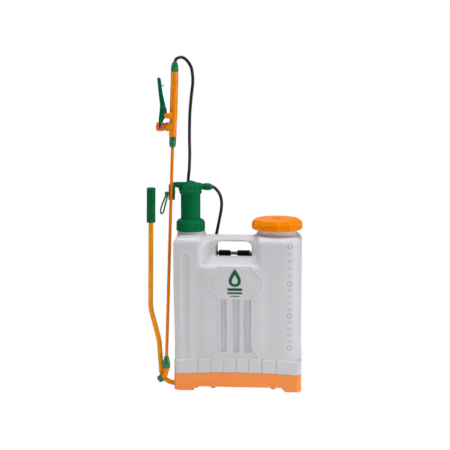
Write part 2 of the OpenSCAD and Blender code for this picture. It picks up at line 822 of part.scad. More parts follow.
module gun_filter() color("white") on_lance() difference() {
  union() {
    z_cyl(4.2, 780, 838);
    z_cyl(4.96, 838, 844);
  }
  z_cyl(3.2, 782, 852);
  for (k = [0:4]) around(6) translate([0, -1.1, 785 + k*10.4]) cube([8, 2.2, 8]);
}

module gun_hose_nut() color("mediumseagreen") on_lance() difference() {
  union() {
    z_cyl(10.8, 852.6, 867.6);
    z_cone(10.8, 7.2, 867.6, 880.6);
  }
  z_cyl(6.42, 850, 860.05);
  z_cyl(hose_d/2 + 0.6, 850, 890);
  z_cyl_ring(10, 11.8, 1.9, 850, 867);
}

module lance_nut_upper() color("green") on_lance() difference() {
  union() {
    z_cyl(10, 648, 666.9);
    z_cone(8, 10, 638, 648);
  }
  z_cyl(6.62, 648.9, 678.9);
  z_cyl(lance_d/2 + 0.02, 630, 670);
  z_cyl_ring(8, 11, 1.8, 648, 668);
}

module lance_tube() color("chocolate") on_lance() difference() {
  z_cyl(lance_d/2, 10, 660);
  z_cyl(lance_d/2 - 1.2, 9, 669);
}

module lance_nut_lower() color("seagreen") on_lance() difference() {
  union() {
    z_cyl(11, 0.2, 13.2);
    z_cone(11, 6, 13.2, 35.2);
  }
  z_cyl(7.52, -1, 13.2);
  z_cyl(lance_d/2 + 0.02, -1, 49);
  z_cyl_ring(8, 12, 1.9, -1, 12);
}

// ---------- nozzle ----------
// the elbow heads down the lance, then turns to the left
elbow_path = [[0, 12], [50, 13], [0, 5]];

module at_elbow() on_lance() rotate([0, 180, 0]) children();
module at_nozzle() at_elbow() walk(elbow_path) children();

module nozzle_elbow() color("orange") difference() {
  union() {
    on_lance() {
      z_cyl(7.5, 0, 13);
      z_cyl(8.6, -9, 0.15);
      z_cyl(6.6, -18, -6);
    }
    at_elbow() translate([0, 0, 18.06]) sphere(r = 7.1);
    at_nozzle() {
      z_cyl(6.3, -11, 0.5);
      z_cyl(7.4, 0, 2.5);
      z_cyl(6, 0, 12);
    }
  }
  // bore and lance socket
  on_lance() {
    z_cyl(2.5, -18, 22);
    z_cyl(lance_d/2 + 0.02, 9.5, 19.5);
  }
  // bore, insert seat and ring groove
  at_nozzle() {
    z_cyl(2.3, -11.2, 18.8);
    z_cyl(4.5, 9, 17);
    z_ring(8, 4.9, 5, 2);
  }
}

module nozzle_insert() color("white") at_nozzle() translate([0, 0, 9.02]) difference() {
  z_cyl(4.46, 0, 3);
  z_cyl(2, 1.6, 4.6);
  around(3) translate([1.6, -0.5, -1]) cube([2, 1, 5]);
}

module nozzle_oring() color("black") at_nozzle()
  translate([0, 0, 6]) rotate_extrude() translate([5.45, 0]) circle(0.52);

module nozzle_cap() color("green") at_nozzle() difference() {
  union() {
    z_cyl(10.2, 2.55, 13.55);
    z_cone(10.2, 6.6, 13.55, 16.95);
  }
  z_cyl(6.05, 2, 12.1);
  // spray hole and its flare
  z_cyl(0.8, 2, 32);
  z_cone(0.8, 3, 15.1, 17.1);
  z_cyl_ring(12, 10.9, 1.5, 1, 13);
}

// ---------- trigger and valve ----------
valve_pin_x = -33;  // cross pin of the valve stem
// outlines (x, z) in the lance frame
paddle_outline = [[-22, 742], [-25, 758], [-34, 790], [-40.5, 834], [-46, 836],
  [-49, 833], [-43, 790], [-38, 758], [-36, 742]];
bridge_outline = [[-26, 736.5], [-22.5, 742], [-25, 752], [-37.5, 752], [-36, 736.5]];
cheek_outline = [[-14, 722], [-15, 732.5], [-23, 746], [-36.5, 746], [-37, 728],
  [-40, 720], [-39.5, 693], [-37, 688.5], [-28, 688.5], [-27, 700], [-27, 712], [-22, 717]];

// hinge of the trigger lock
module at_lock() translate([-38.6, 0, 814]) children();

module trigger_lever() color("darkgreen") on_lance() difference() {
  union() {
    along_y(16) polygon(paddle_outline);
    along_y(35) polygon(bridge_outline);
    // two cheeks with round pivot eyes
    for (i = [-1, 1]) translate([0, i*15.75, 0]) along_y(3.5) {
      polygon(cheek_outline);
      translate([pivot_x, pivot_z]) circle(6.4);
    }
  }
  translate([pivot_x, 0, pivot_z]) y_cyl(2.56, -30, 30);
  // hollow on the gun side of the paddle
  translate([-34, -5, 764]) rotate([0, -9, 0]) cube([5, 10, 46]);
  // slots for the valve pin
  translate([valve_pin_x, 0, valve_z]) rotate([0, -12, 0]) {
    y_cyl(1.8, -30, 30);
    translate([0, 0, -3.8]) y_cyl(1.8, -30, 30);
    translate([-1.8, -30, -3.8]) cube([3.6, 60, 3.8]);
  }
  // hinge of the lock
  at_lock() y_cyl(1.55, -4, 4);
  translate([-40.6, -2.6, 810.4]) cube([12, 5.2, 7.4]);
}

module trigger_pivot_pin() color("silver") on_lance()
  translate([pivot_x, 0, pivot_z]) y_cyl(2.48, -18.5, 18.5);

module trigger_lock() color("darkgreen") on_lance() at_lock() {
  y_cyl(1.5, -3.9, 3.9);
  along_y(4.8) {
    translate([0, -1]) square([8, 2]);
    translate([6.4, -3]) square([1.8, 4]);
  }
}

module valve_stem() color("silver") at_valve() {
  x_cyl(2.5, -36, -5);
  // disc at the seat, and outer head
  x_cyl(4.4, -7.5, -4.05);
  x_cyl(5, -36.5, -35);
  translate([valve_pin_x, 0, 0]) y_cyl(1.5, -17.4, 17.4);
}

// three turns of wire, running left from x = -37.1
spring_line = [for (i = [0:72]) let (a = i*15) [-37.1 - i/72*7.9, 4.3*cos(a), 4.3*sin(a)]];

module valve_spring() color("lightgray") at_valve() sweep_tube(spring_line, 0.5, 0.1, 8);

module valve_cap() color("tomato") at_valve() difference() {
  x_cyl(13, -48, -28.02);
  x_cyl(9, -45.6, -27);
  // side slots for the valve pin
  for (i = [-1, 1]) translate([-41, i*11 - 4, -1.8]) cube([9.8, 8, 3.6]);
  x_cyl_ring(10, 14.1, 2.1, -49, -36, 18);
}

// ---------- straps ----------
strap_x = [-41.6, 13];
strap_splay = [14, -14];
web_half = 1.4;  // half the webbing's thickness
// centre line (y, z) of a strap in its own plane, from the anchor bar to the hook
strap_points = [[6, 0], [20, -1], [36, -5], [52, -12], [71, -28], [89, -56], [102, -102],
  [109, -152], [106, -205], [94, -250], [78, -290], [63, -320], [57, -341]];
strap_line = spline(strap_points, 4);
pad_line = [for (i = [17:36]) strap_line[i]];

// outline between two offsets from a line
function ribbon(line, near, far) = let (
    last = len(line) - 1,
    along = tangents(line),
    across = [for (v = along) [v[1], -v[0]]])
  concat([for (i = [0:last]) line[i] + near*across[i]],
    [for (i = [last:-1:0]) line[i] + far*across[i]]);

// k is 0 for the left strap and 1 for the right
module at_strap_loop(k) translate([strap_x[k], anchor_y, anchor_z]) children();
module at_strap(k) at_strap_loop(k) rotate([0, strap_splay[k], 0]) children();

module strap(k) difference() {
  union() {
    at_strap_loop(k) x_cyl(8.6, -web_w/2, web_w/2);
    at_strap(k) along_x(web_w) polygon(ribbon(strap_line, -web_half, web_half));
  }
  at_strap_loop(k) x_cyl(5.02, -web_w, web_w);
}
module strap_left() color("#1c1c1e") strap(0);
module strap_right() color("#1c1c1e") strap(1);

module pad(k) at_strap(k) along_x(pad_w) polygon(ribbon(pad_line, web_half + 0.02, 13));
module pad_left() color("#2a2a2d") pad(0);
module pad_right() color("#2a2a2d") pad(1);

module hook(k) translate([hook_x[k], hook_y, hook_z]) difference() {
  union() {
    x_cyl(6.5, -6, 6);
    translate([-6, -2.5, 0]) cube([12, 5, 14]);
    translate([-web_w/2 - 5, -2.5, 11]) cube([web_w + 10, 5, 4]);
  }
  x_cyl(3.06, -7, 7);
}
module strap_hook_left() color("#303234") hook(0);
module strap_hook_right() color("#303234") hook(1);

tank_shell();
base_tray();
base_screws();
shaft_bushes();
filler_strainer();
strap_anchor_bar();
filler_cap();
cap_gasket();
cap_vent_valve();
pump_barrel();
pump_gasket();
pump_column();
pump_head();
pump_union_nut();
rod_seal();
gland_nut();
inlet_strainer();
delivery_ball();
ball_stop_pin();
lever_tube();
lever_grip();
crank_arm();
crank_roller();
crank_lock_pin();
shaft_washer();
shaft_split_pin();
crosshead();
piston_rod();
piston();
piston_seal();
piston_nut();
piston_valve_disc();
outlet_nut();
hose();
lance_holder();
clip_strap();
gun_body();
gun_filter();
gun_hose_nut();
lance_nut_upper();
lance_tube();
lance_nut_lower();
nozzle_elbow();
nozzle_insert();
nozzle_oring();
nozzle_cap();
trigger_lever();
trigger_pivot_pin();
trigger_lock();
valve_stem();
valve_spring();
valve_cap();
strap_left();
strap_right();
pad_left();
pad_right();
strap_hook_left();
strap_hook_right();
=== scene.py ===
# Knapsack sprayer: a white tank on an orange tray, with a filler cap, a pump worked by a bent
# lever, a hose to a spray gun and lance, and two padded shoulder straps.
# It stands on z = 0 with its width along x; the front faces -y, the straps hang behind at +y,
# and left means -x. Shapes are worked out in millimetres and turned into metres as meshes.
import json
import math

import bmesh
import bpy
import numpy as np
import openvdb
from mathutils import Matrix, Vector
from mathutils.bvhtree import BVHTree


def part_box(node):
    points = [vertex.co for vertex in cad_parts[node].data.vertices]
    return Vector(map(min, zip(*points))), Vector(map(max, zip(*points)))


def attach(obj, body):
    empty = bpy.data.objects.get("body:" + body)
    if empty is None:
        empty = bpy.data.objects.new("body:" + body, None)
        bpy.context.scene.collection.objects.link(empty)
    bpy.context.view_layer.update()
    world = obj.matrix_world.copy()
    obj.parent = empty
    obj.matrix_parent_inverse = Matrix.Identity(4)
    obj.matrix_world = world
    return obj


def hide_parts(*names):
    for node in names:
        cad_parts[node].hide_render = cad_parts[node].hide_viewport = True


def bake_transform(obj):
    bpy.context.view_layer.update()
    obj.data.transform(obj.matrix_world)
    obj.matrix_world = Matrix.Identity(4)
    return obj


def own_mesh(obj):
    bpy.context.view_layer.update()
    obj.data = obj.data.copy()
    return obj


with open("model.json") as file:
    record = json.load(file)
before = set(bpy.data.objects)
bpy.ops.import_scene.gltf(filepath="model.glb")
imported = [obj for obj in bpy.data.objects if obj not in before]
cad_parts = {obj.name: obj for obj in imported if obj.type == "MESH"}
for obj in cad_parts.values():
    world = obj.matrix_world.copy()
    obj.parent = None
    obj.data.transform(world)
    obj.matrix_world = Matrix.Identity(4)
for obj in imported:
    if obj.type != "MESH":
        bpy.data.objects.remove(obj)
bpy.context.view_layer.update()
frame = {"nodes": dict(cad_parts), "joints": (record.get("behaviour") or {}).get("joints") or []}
MM = 0.001


# ---------------------------------------------------------------- places taken from the frame
def box_mm(node):
    low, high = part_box(node)
    return np.array(low) * 1000, np.array(high) * 1000


def upright_part(node):
    """centre x, centre y and radius of a round upright piece"""
    low, high = box_mm(node)
    centre = (low + high) / 2
    return centre[0], centre[1], (high[0] - low[0]) / 2


JOINTS = {joint["name"]: joint for joint in frame["joints"]}


def joint_mm(name):
    return np.array(JOINTS[name]["pos_m"]) * 1000


def joint_axis(name):
    return np.array(JOINTS[name]["axis"])


TANK_LOW, TANK_HIGH = box_mm("tank_shell")
TANK_X = (TANK_LOW[0] + TANK_HIGH[0]) / 2
TANK_WIDTH, TANK_DEPTH = (TANK_HIGH - TANK_LOW)[:2]
CAP_X, CAP_Y, CAP_RADIUS = upright_part("filler_cap")
PUMP_X, PUMP_Y, _ = upright_part("pump_column")
NUT_RADIUS = upright_part("pump_union_nut")[2]
_, BAR_Y, BAR_Z = sum(box_mm("strap_anchor_bar")) / 2
_, SHAFT_Y, SHAFT_Z = joint_mm("lever_swing")
NOZZLE = joint_mm("nozzle_adjust")               # where the elbow's spigot starts
NOZZLE_AXIS = joint_axis("nozzle_adjust")

# The lance's own frame: x against the valve's travel, y the trigger's axis, z up the lance.
# The trigger is on its -x side.
PIVOT_X, PIVOT_Z = -18.0, 727.0                  # trigger pin
VALVE_X, VALVE_Z = -33, 696.0                    # trigger's slot for the valve pin
_lance_x, _lance_y = -joint_axis("valve_travel"), joint_axis("trigger_pull")
LANCE_AXES = np.stack([_lance_x, _lance_y, np.cross(_lance_x, _lance_y)], 1)
LANCE_ORIGIN = joint_mm("trigger_pull") - LANCE_AXES @ np.array([PIVOT_X, 0.0, PIVOT_Z])


def on_lance(x, y, z):
    return LANCE_ORIGIN + LANCE_AXES @ np.array([x, y, z], float)


# The outlet points right from the pump head, turned 15 degrees back and 4 degrees down
_dip, _turn = math.radians(4), math.radians(15)
OUTLET_AXIS = np.array([math.cos(_dip) * math.cos(_turn), math.cos(_dip) * math.sin(_turn),
                        -math.sin(_dip)])


def outlet(along):
    return np.array([PUMP_X, PUMP_Y, 585.0]) + along * OUTLET_AXIS


# The pump head's left arm, which carries the lance holder
ARM_Y, ARM_Z = PUMP_Y - 4, 588.5


# ---------------------------------------------------------------- paths
def unit(vector):
    return vector / max(np.linalg.norm(vector), 1e-12)


def catmull(points, steps):
    """Catmull-Rom curve through the points"""
    points = np.asarray(points, float)
    last = len(points) - 1
    out = []
    for i in range(last):
        before, start = points[max(i - 1, 0)], points[i]
        end, after = points[i + 1], points[min(i + 2, last)]
        for j in range(steps):
            t = j / steps
            out.append(0.5 * (2 * start + (end - before) * t
                              + (2 * before - 5 * start + 4 * end - after) * t * t
                              + (3 * start - before - 3 * end + after) * t ** 3))
    out.append(points[-1])
    return np.array(out)


def tangents(path):
    last = len(path) - 1
    return np.array([unit(path[min(i + 1, last)] - path[max(i - 1, 0)])
                     for i in range(last + 1)])


def arc_lengths(path):
    return np.concatenate([[0], np.cumsum(np.linalg.norm(np.diff(path, axis=0), axis=1))])


def axes_along(direction, up=(0, 1, 0)):
    """axes, as columns, whose z lies along direction"""
    along = unit(np.asarray(direction, float))
    across = unit(np.cross(up, along))
    return np.stack([across, np.cross(along, across), along], 1)


def rings(path, radius, sides, ref=(0, 1, 0.2)):
    """circles of points round each point of the path, carried along it without twist"""
    path = np.asarray(path, float)
    heading = tangents(path)
    across = unit(np.cross(heading[0], ref))
    angles = np.arange(sides) * 2 * math.pi / sides
    cos, sin = np.cos(angles)[:, None], np.sin(angles)[:, None]
    out = []
    for point, ahead in zip(path, heading):
        across = unit(across - (across @ ahead) * ahead)
        out.append(point + radius * (cos * across + sin * np.cross(ahead, across)))
    return out


# ---------------------------------------------------------------- meshes
def mesh_object(name, verts, faces, material, smooth=True):
    """verts in mm; faces as an (n, k) array or a list of lists"""
    mesh = bpy.data.meshes.new(name)
    verts = np.asarray(verts, float) * MM
    if isinstance(faces, np.ndarray):
        count, corners = faces.shape
        mesh.vertices.add(len(verts))
        mesh.vertices.foreach_set("co", verts.astype(np.float32).ravel())
        mesh.loops.add(count * corners)
        mesh.loops.foreach_set("vertex_index", faces.astype(np.int32).ravel())
        mesh.polygons.add(count)
        mesh.polygons.foreach_set("loop_start", (np.arange(count) * corners).astype(np.int32))
        mesh.update(calc_edges=True)
    else:
        mesh.from_pydata([tuple(v) for v in verts], [], [list(f) for f in faces])
    mesh.validate()
    mesh.update()
    obj = bpy.data.objects.new(name, mesh)
    bpy.context.scene.collection.objects.link(obj)
    edit = bmesh.new()
    edit.from_mesh(mesh)
    bmesh.ops.recalc_face_normals(edit, faces=edit.faces)
    if edit.calc_volume(signed=True) < 0:
        bmesh.ops.reverse_faces(edit, faces=edit.faces)
    edit.to_mesh(mesh)
    edit.free()
    if smooth:
        mesh.polygons.foreach_set("use_smooth", np.ones(len(mesh.polygons), bool))
    mesh.materials.append(material)
    return obj


def place(obj, body, replaced=None):
    """let obj ride on a body and stand in for a CAD node"""
    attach(obj, body)
    if replaced:
        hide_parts(replaced)


def grid_faces(rows, ring, closed=False, base=0):
    """quads between successive rings of points; closed joins the last row to the first"""
    faces = []
    for i in range(rows if closed else rows - 1):
        here, after = base + i * ring, base + (i + 1) % rows * ring
        for j in range(ring):
            k = (j + 1) % ring
            faces.append([here + j, here + k, after + k, after + j])
    return faces


def end_caps(rows, ring, base=0, flip=False):
    first = list(range(base, base + ring))
    last = list(range(base + (rows - 1) * ring, base + rows * ring))
    return [first, last[::-1]] if flip else [first[::-1], last]


def tube(name, path, radius, sides, material, inner=None, ref=(0, 1, 0.2)):
    """round tube along the path; inner gives it a short bore at both ends"""
    rows = rings(path, radius, sides, ref)
    if inner:
        bore = rings(path, inner, sides, ref)
        rows = [bore[6], bore[0], *rows, bore[-1], bore[-7]]
    faces = grid_faces(len(rows), sides) + end_caps(len(rows), sides)
    return mesh_object(name, np.concatenate(rows), faces, material)


def round_corners(profile, steps=5):
    """round the inner corners of a profile with rows (radius, z, rounding)"""
    rows = np.array(profile, float)
    points = rows[:, :2]
    out = [points[0]]
    for i in range(1, len(points) - 1):
        corner, rounding = points[i], rows[i, 2]
        back, ahead = points[i - 1] - corner, points[i + 1] - corner
        back_length, ahead_length = np.linalg.norm(back), np.linalg.norm(ahead)
        back, ahead = back / back_length, ahead / ahead_length
        angle = math.acos(max(-1, min(1, back @ ahead)))
        if rounding <= 0 or angle > math.pi - 0.05:
            out.append(corner)
            continue
        reach = min(rounding / math.tan(angle / 2), 0.48 * back_length, 0.48 * ahead_length)
        start, end = corner + back * reach, corner + ahead * reach
        for j in range(steps + 1):
            t = j / steps
            out.append((1 - t) ** 2 * start + 2 * t * (1 - t) * corner + t * t * end)
    out.append(points[-1])
    return np.array(out)


def densify(points, step):
    out = [points[0]]
    for start, end in zip(points[:-1], points[1:]):
        count = max(1, int(math.ceil(np.linalg.norm(end - start) / step)))
        out += [start + (end - start) * i / count for i in range(1, count + 1)]
    return np.array(out)


def lathe(name, profile, origin, segments, step, material, axes=np.eye(3), shape=None):
    """closed profile (radius, z, rounding) turned about local z; shape(angle, radius, z)
    gives the changed radius"""
    points = densify(round_corners(profile), step)
    angle = np.arange(segments) * 2 * math.pi / segments
    radius = points[:, 0][:, None] + np.zeros((1, segments))
    z = points[:, 1][:, None] + np.zeros((1, segments))
    if shape is not None:
        radius = shape(angle[None, :], radius, z)
    verts = np.stack([radius * np.cos(angle), radius * np.sin(angle), z], -1).reshape(-1, 3)
    verts = verts @ axes.T + np.asarray(origin)
    return mesh_object(name, verts, grid_faces(len(points), segments, closed=True), material)


def fluted(count, depth, min_radius, low=-math.inf, high=math.inf, fade=1.5, gain=2.0, bias=1.0):
    """lathe shape: grip grooves outside min_radius, fading out at the heights low and high;
    gain and bias set how wide the grooves are"""
    def shape(angle, radius, z):
        wave = 0.5 + 0.5 * np.cos(angle * count)
        groove = (depth * np.clip(wave * gain - bias, 0, 1) * np.clip((z - low) / fade, 0, 1)
                  * np.clip((high - z) / fade, 0, 1))
        return radius - np.where(radius > min_radius, groove, 0)
    return shape


# ---------------------------------------------------------------- signed distances
def union(a, b, blend=0):
    if not blend:
        return np.minimum(a, b)
    mix = np.clip(0.5 + 0.5 * (b - a) / blend, 0, 1)
    return b + (a - b) * mix - blend * mix * (1 - mix)


def common(a, b, blend=0):
    return -union(-a, -b, blend)


def cut(shape, tool, blend=0):
    return common(shape, -tool, blend)


def radial(x, y):
    return np.sqrt(x ** 2 + y ** 2)


def span(value, centre, half):
    return np.abs(value - centre) - half


def rect(x, y, half_x, half_y, corner):
    over_x, over_y = np.abs(x) - half_x + corner, np.abs(y) - half_y + corner
    outside = radial(np.maximum(over_x, 0), np.maximum(over_y, 0))
    return np.minimum(np.maximum(over_x, over_y), 0) + outside - corner


def prism(outline, along, centre, half, edge):
    """a flat outline kept within centre +- half of the coordinate along, edges rounded"""
    side, end = outline + edge, span(along, centre, half) + edge
    outside = radial(np.maximum(side, 0), np.maximum(end, 0))
    return np.minimum(np.maximum(side, end), 0) + outside - edge


def segment(x, y, z, start, end):
    """distance from the straight line between two points"""
    start, end = np.asarray(start, float), np.asarray(end, float)
    run = end - start
    t = np.clip(((x - start[0]) * run[0] + (y - start[1]) * run[1] + (z - start[2]) * run[2])
                / (run @ run), 0, 1)
    return np.sqrt((x - start[0] - t * run[0]) ** 2 + (y - start[1] - t * run[1]) ** 2
                   + (z - start[2] - t * run[2]) ** 2)


def rod(x, y, z, start, end, radius, edge):
    """cylinder between two points"""
    start, end = np.asarray(start, float), np.asarray(end, float)
    length = np.linalg.norm(end - start)
    axis = (end - start) / length
    t = (x - start[0]) * axis[0] + (y - start[1]) * axis[1] + (z - start[2]) * axis[2]
    off_x, off_y, off_z = (c - start[i] - t * axis[i] for i, c in enumerate((x, y, z)))
    off_axis = np.sqrt(off_x ** 2 + off_y ** 2 + off_z ** 2)
    return prism(off_axis - radius, t, length / 2, length / 2, edge)


def polygon(x, y, points):
    points = np.asarray(points, float)
    nearest = np.full(x.shape, 1e9, np.float32)
    sign = np.ones(x.shape, np.float32)
    for i, here in enumerate(points):
        prev = points[i - 1]
        edge_x, edge_y = prev[0] - here[0], prev[1] - here[1]
        to_x, to_y = x - here[0], y - here[1]
        t = np.clip((to_x * edge_x + to_y * edge_y) / (edge_x * edge_x + edge_y * edge_y), 0, 1)
        nearest = np.minimum(nearest, (to_x - edge_x * t) ** 2 + (to_y - edge_y * t) ** 2)
        above, below, left = y >= here[1], y < prev[1], edge_x * to_y > edge_y * to_x
        crossed = (above & below & left) | (~above & ~below & ~left)
        sign = np.where(crossed, -sign, sign)
    return sign * np.sqrt(nearest)


def smoothstep(t):
    t = np.clip(t, 0, 1)
    return t * t * (3 - 2 * t)


def press(shape, region, outline, depth, soft, start=0.5, rim=None):
    """sink an outline into the surface where region is true; soft is the width of the slope.
    rim = (height, distance from the outline, width) raises a ridge round it"""
    shape = shape + np.where(region, depth * smoothstep(start - outline / soft), 0)
    if rim:
        height, centre, width = rim
        shape = shape - np.where(region, height * np.exp(-((outline - centre) / width) ** 2), 0)
    return shape


def solid(name, low, high, steps, distance, material, axes=np.eye(3), origin=(0, 0, 0)):
    """mesh of distance(x, y, z) < 0 inside the box low..high. steps are the grid spacings
    (quick, full); axes and origin carry the piece to the sprayer's frame"""
    step = steps[1]
    low = np.asarray(low, float) - 2 * step
    ticks = []
    for i in range(3):
        count = int(math.ceil((high[i] + 2 * step - low[i]) / step)) + 1
        ticks.append((low[i] + step * np.arange(count)).astype(np.float32))
    x, y, z = np.meshgrid(*ticks, indexing="ij")
    grid = openvdb.FloatGrid()
    grid.background = 3.0
    grid.copyFromArray(np.clip(distance(x, y, z) / step, -3, 3).astype(np.float32))
    verts, quads = grid.convertToQuads(isovalue=0.0)
    verts = (verts.astype(float) * step + low) @ axes.T + np.asarray(origin)
    obj = mesh_object(name, verts, quads.astype(np.int32), material)
    relax = obj.modifiers.new("relax", "SMOOTH")
    relax.factor = 0.5
    relax.iterations = 1
    return obj


# ---------------------------------------------------------------- shader helpers
def set_inputs(tree, node, inputs):
    """link the sockets and set the plain values"""
    for key, value in inputs.items():
        if isinstance(value, bpy.types.NodeSocket):
            tree.links.new(value, node.inputs[key])
        else:
            node.inputs[key].default_value = value


def add_node(tree, kind, inputs=None, **settings):
    node = tree.nodes.new("ShaderNode" + kind)
    for key, value in settings.items():
        setattr(node, key, value)
    set_inputs(tree, node, inputs or {})
    return node


def new_material(name):
    material = bpy.data.materials.new(name)
    material.use_nodes = True
    tree = material.node_tree
    tree.nodes.clear()
    output = add_node(tree, "OutputMaterial")
    shader = add_node(tree, "BsdfPrincipled")
    tree.links.new(shader.outputs[0], output.inputs[0])
    return material, tree, shader


def coords(tree, kind="Object"):
    return add_node(tree, "TexCoord").outputs[kind]


def noise(tree, vector, scale, detail, roughness=0.5):
    return add_node(tree, "TexNoise", {"Vector": vector, "Scale": scale, "Detail": detail,
                                       "Roughness": roughness}).outputs[0]


def ramp(tree, value, stops, colours):
    node = add_node(tree, "ValToRGB", {0: value})
    for element, stop, colour in zip(node.color_ramp.elements, stops, colours):
        element.position = stop
        element.color = colour
    return node.outputs[0]


def remap(tree, value, low, high, source=(0.3, 0.7)):
    return add_node(tree, "MapRange", {0: value, 1: source[0], 2: source[1],
                                       3: low, 4: high}).outputs[0]


def bump(tree, height, strength, distance, normal=None):
    inputs = {"Height": height, "Strength": strength, "Distance": distance}
    if normal is not None:
        inputs["Normal"] = normal
    return add_node(tree, "Bump", inputs).outputs[0]


def linear(rgb):
    """linear colour of an 8-bit sRGB one"""
    return [u / 12.92 if u <= 0.04045 else ((u + 0.055) / 1.055) ** 2.4
            for u in (k / 255 for k in rgb)]


def tint(colour, gain, lift=0.0):
    return tuple(min(1, k * gain + lift) for k in colour) + (1,)


# ---------------------------------------------------------------- materials
def plastic(name, rgb, rough=0.38, grain=0.12, vary=0.08, wear=0.25, uneven=0.08, spec=0.5,
            subsurface=0.0):
    """moulded plastic. vary: colour mottling; wear: lighter edges; grain and uneven: fine and
    broad bumps"""
    material, tree, shader = new_material(name)
    vector = coords(tree)
    colour = linear(rgb)
    mottle = noise(tree, vector, scale=14, detail=4)
    fine = noise(tree, vector, scale=900, detail=2)
    gloss = noise(tree, vector, scale=60, detail=5, roughness=0.6)
    broad = noise(tree, vector, scale=26, detail=2)
    base = ramp(tree, mottle, (0.3, 0.7), (tint(colour, 1 - vary), tint(colour, 1 + vary)))
    pointiness = add_node(tree, "NewGeometry").outputs["Pointiness"]
    edges = ramp(tree, pointiness, (0.52, 0.62), ((0, 0, 0, 1), (1, 1, 1, 1)))
    amount = add_node(tree, "Math", {0: edges, 1: wear}, operation="MULTIPLY").outputs[0]
    mix = add_node(tree, "Mix", {0: amount, 6: base, 7: tint(colour, 1.25, lift=0.05)},
                   data_type="RGBA")
    grain_normal = bump(tree, fine, strength=grain, distance=0.0004)
    set_inputs(tree, shader, {
        "Base Color": mix.outputs[2],
        "Roughness": remap(tree, gloss, low=rough - 0.06, high=rough + 0.08),
        "Normal": bump(tree, broad, strength=uneven, distance=0.0015, normal=grain_normal),
        "Coat Roughness": 0.12,
        "Specular IOR Level": spec})
    if subsurface:
        set_inputs(tree, shader, {"Subsurface Weight": subsurface,
                                  "Subsurface Radius": (0.006, 0.006, 0.005),
                                  "Subsurface Scale": 1.0})
    return material


def steel(name, rgb, rough):
    """steel with a fine brushed grain"""
    material, tree, shader = new_material(name)
    vector = coords(tree)
    colour = linear(rgb)
    stretched = add_node(tree, "Mapping", {0: vector, "Scale": (1, 1, 40)}).outputs[0]
    brushed = noise(tree, stretched, scale=260, detail=4)
    patches = noise(tree, vector, scale=30, detail=4)
    set_inputs(tree, shader, {
        "Base Color": ramp(tree, patches, (0.35, 0.7), (tint(colour, 0.82), tint(colour, 1.08))),
        "Roughness": remap(tree, brushed, low=rough - 0.08, high=rough + 0.12),
        "Normal": bump(tree, brushed, strength=0.15, distance=0.0003),
        "Metallic": 1.0})
    return material


def paint(name, rgb, rough):
    """powder paint on steel: orange peel and a few darker patches"""
    material, tree, shader = new_material(name)
    vector = coords(tree)
    colour = linear(rgb)
    peel = noise(tree, vector, scale=340, detail=2)
    patches = noise(tree, vector, scale=22, detail=6, roughness=0.65)
    set_inputs(tree, shader, {
        "Base Color": ramp(tree, patches, (0.35, 0.75), (tint(colour, 0.86), tint(colour, 1.08))),
        "Roughness": remap(tree, patches, low=rough - 0.05, high=rough + 0.14, source=(0, 1)),
        "Normal": bump(tree, peel, strength=0.12, distance=0.0004),
        "Coat Weight": 0.03, "Coat Roughness": 0.2, "Specular IOR Level": 0.1})
    return material


def fabric(name, rgb, pitch, depth=0.6, diagonal=False):
    """woven cloth: crossing ribs pitch mm apart, from the UV map, which is in metres"""
    material, tree, shader = new_material(name)
    uv = coords(tree, "UV")
    colour = linear(rgb)
    turn = math.radians(45 if diagonal else 0)
    mapped = add_node(tree, "Mapping", {0: uv, "Rotation": (0, 0, turn)}).outputs[0]
    warp, weft = (
        add_node(tree, "TexWave", {0: mapped, "Scale": 2 * math.pi / (pitch * MM) / 20 * density,
                                   "Distortion": 0.6, "Detail": 1, "Detail Scale": 3},
                 bands_direction=direction).outputs[1]
        for direction, density in (("X", 1.0), ("Y", 0.8)))
    weave = add_node(tree, "Math", {0: warp, 1: weft}, operation="MAXIMUM").outputs[0]
    base = ramp(tree, noise(tree, uv, scale=120, detail=5), (0.3, 0.75),
                (tint(colour, 0.7), tint(colour, 1.5, lift=0.01)))
    mix = add_node(tree, "Mix", {0: 0.6, 6: base, 7: weave}, data_type="RGBA",
                   blend_type="MULTIPLY")
    set_inputs(tree, shader, {
        "Base Color": mix.outputs[2],
        "Normal": bump(tree, weave, strength=depth, distance=0.0006),
        "Roughness": 0.85, "Sheen Weight": 0.35, "Sheen Roughness": 0.4})
    return material


TANK_WHITE = plastic("tank_hdpe", (208, 207, 211), rough=0.36, grain=0.08, vary=0.015, wear=0.05,
                     uneven=0.06, spec=0.35, subsurface=0.05)
TRAY_ORANGE = plastic("base_orange_plastic", (255, 152, 80), rough=0.50, grain=0.14, vary=0.03,
                      uneven=0.06, wear=0.08, spec=0.12)
CAP_ORANGE = plastic("cap_orange_plastic", (242, 132, 0), rough=0.36, grain=0.07, vary=0.05,
                     wear=0.06, uneven=0.05, spec=0.04)
GREEN = plastic("pump_green_plastic", (0, 106, 62), rough=0.42, grain=0.10, wear=0.08,
                uneven=0.06, spec=0.06)
FITTING_GREEN = plastic("fitting_green_plastic", (0, 112, 68), rough=0.24, grain=0.05, wear=0.10,
                        uneven=0.04)
DARK_GREEN = plastic("trigger_green_plastic", (0, 96, 56), rough=0.44, vary=0.10, wear=0.10,
                     uneven=0.06, spec=0.09)
GUN_ORANGE = plastic("gun_orange_plastic", (238, 136, 0), rough=0.22, grain=0.04, vary=0.05,
                     wear=0.05, uneven=0.03, spec=0.26)
VALVE_RED = plastic("valve_red_orange_plastic", (250, 104, 50), rough=0.33, grain=0.06, vary=0.05,
                    wear=0.2, uneven=0.04)
LANCE_ORANGE = plastic("lance_orange", (232, 120, 0), rough=0.30, grain=0.05, vary=0.05,
                       wear=0.04, uneven=0.04, spec=0.10)
LEVER_PAINT = paint("lever_mustard_paint", (244, 156, 0), rough=0.28)
WHITE = plastic("white_plastic", (222, 222, 216), rough=0.4, vary=0.03, wear=0.05)
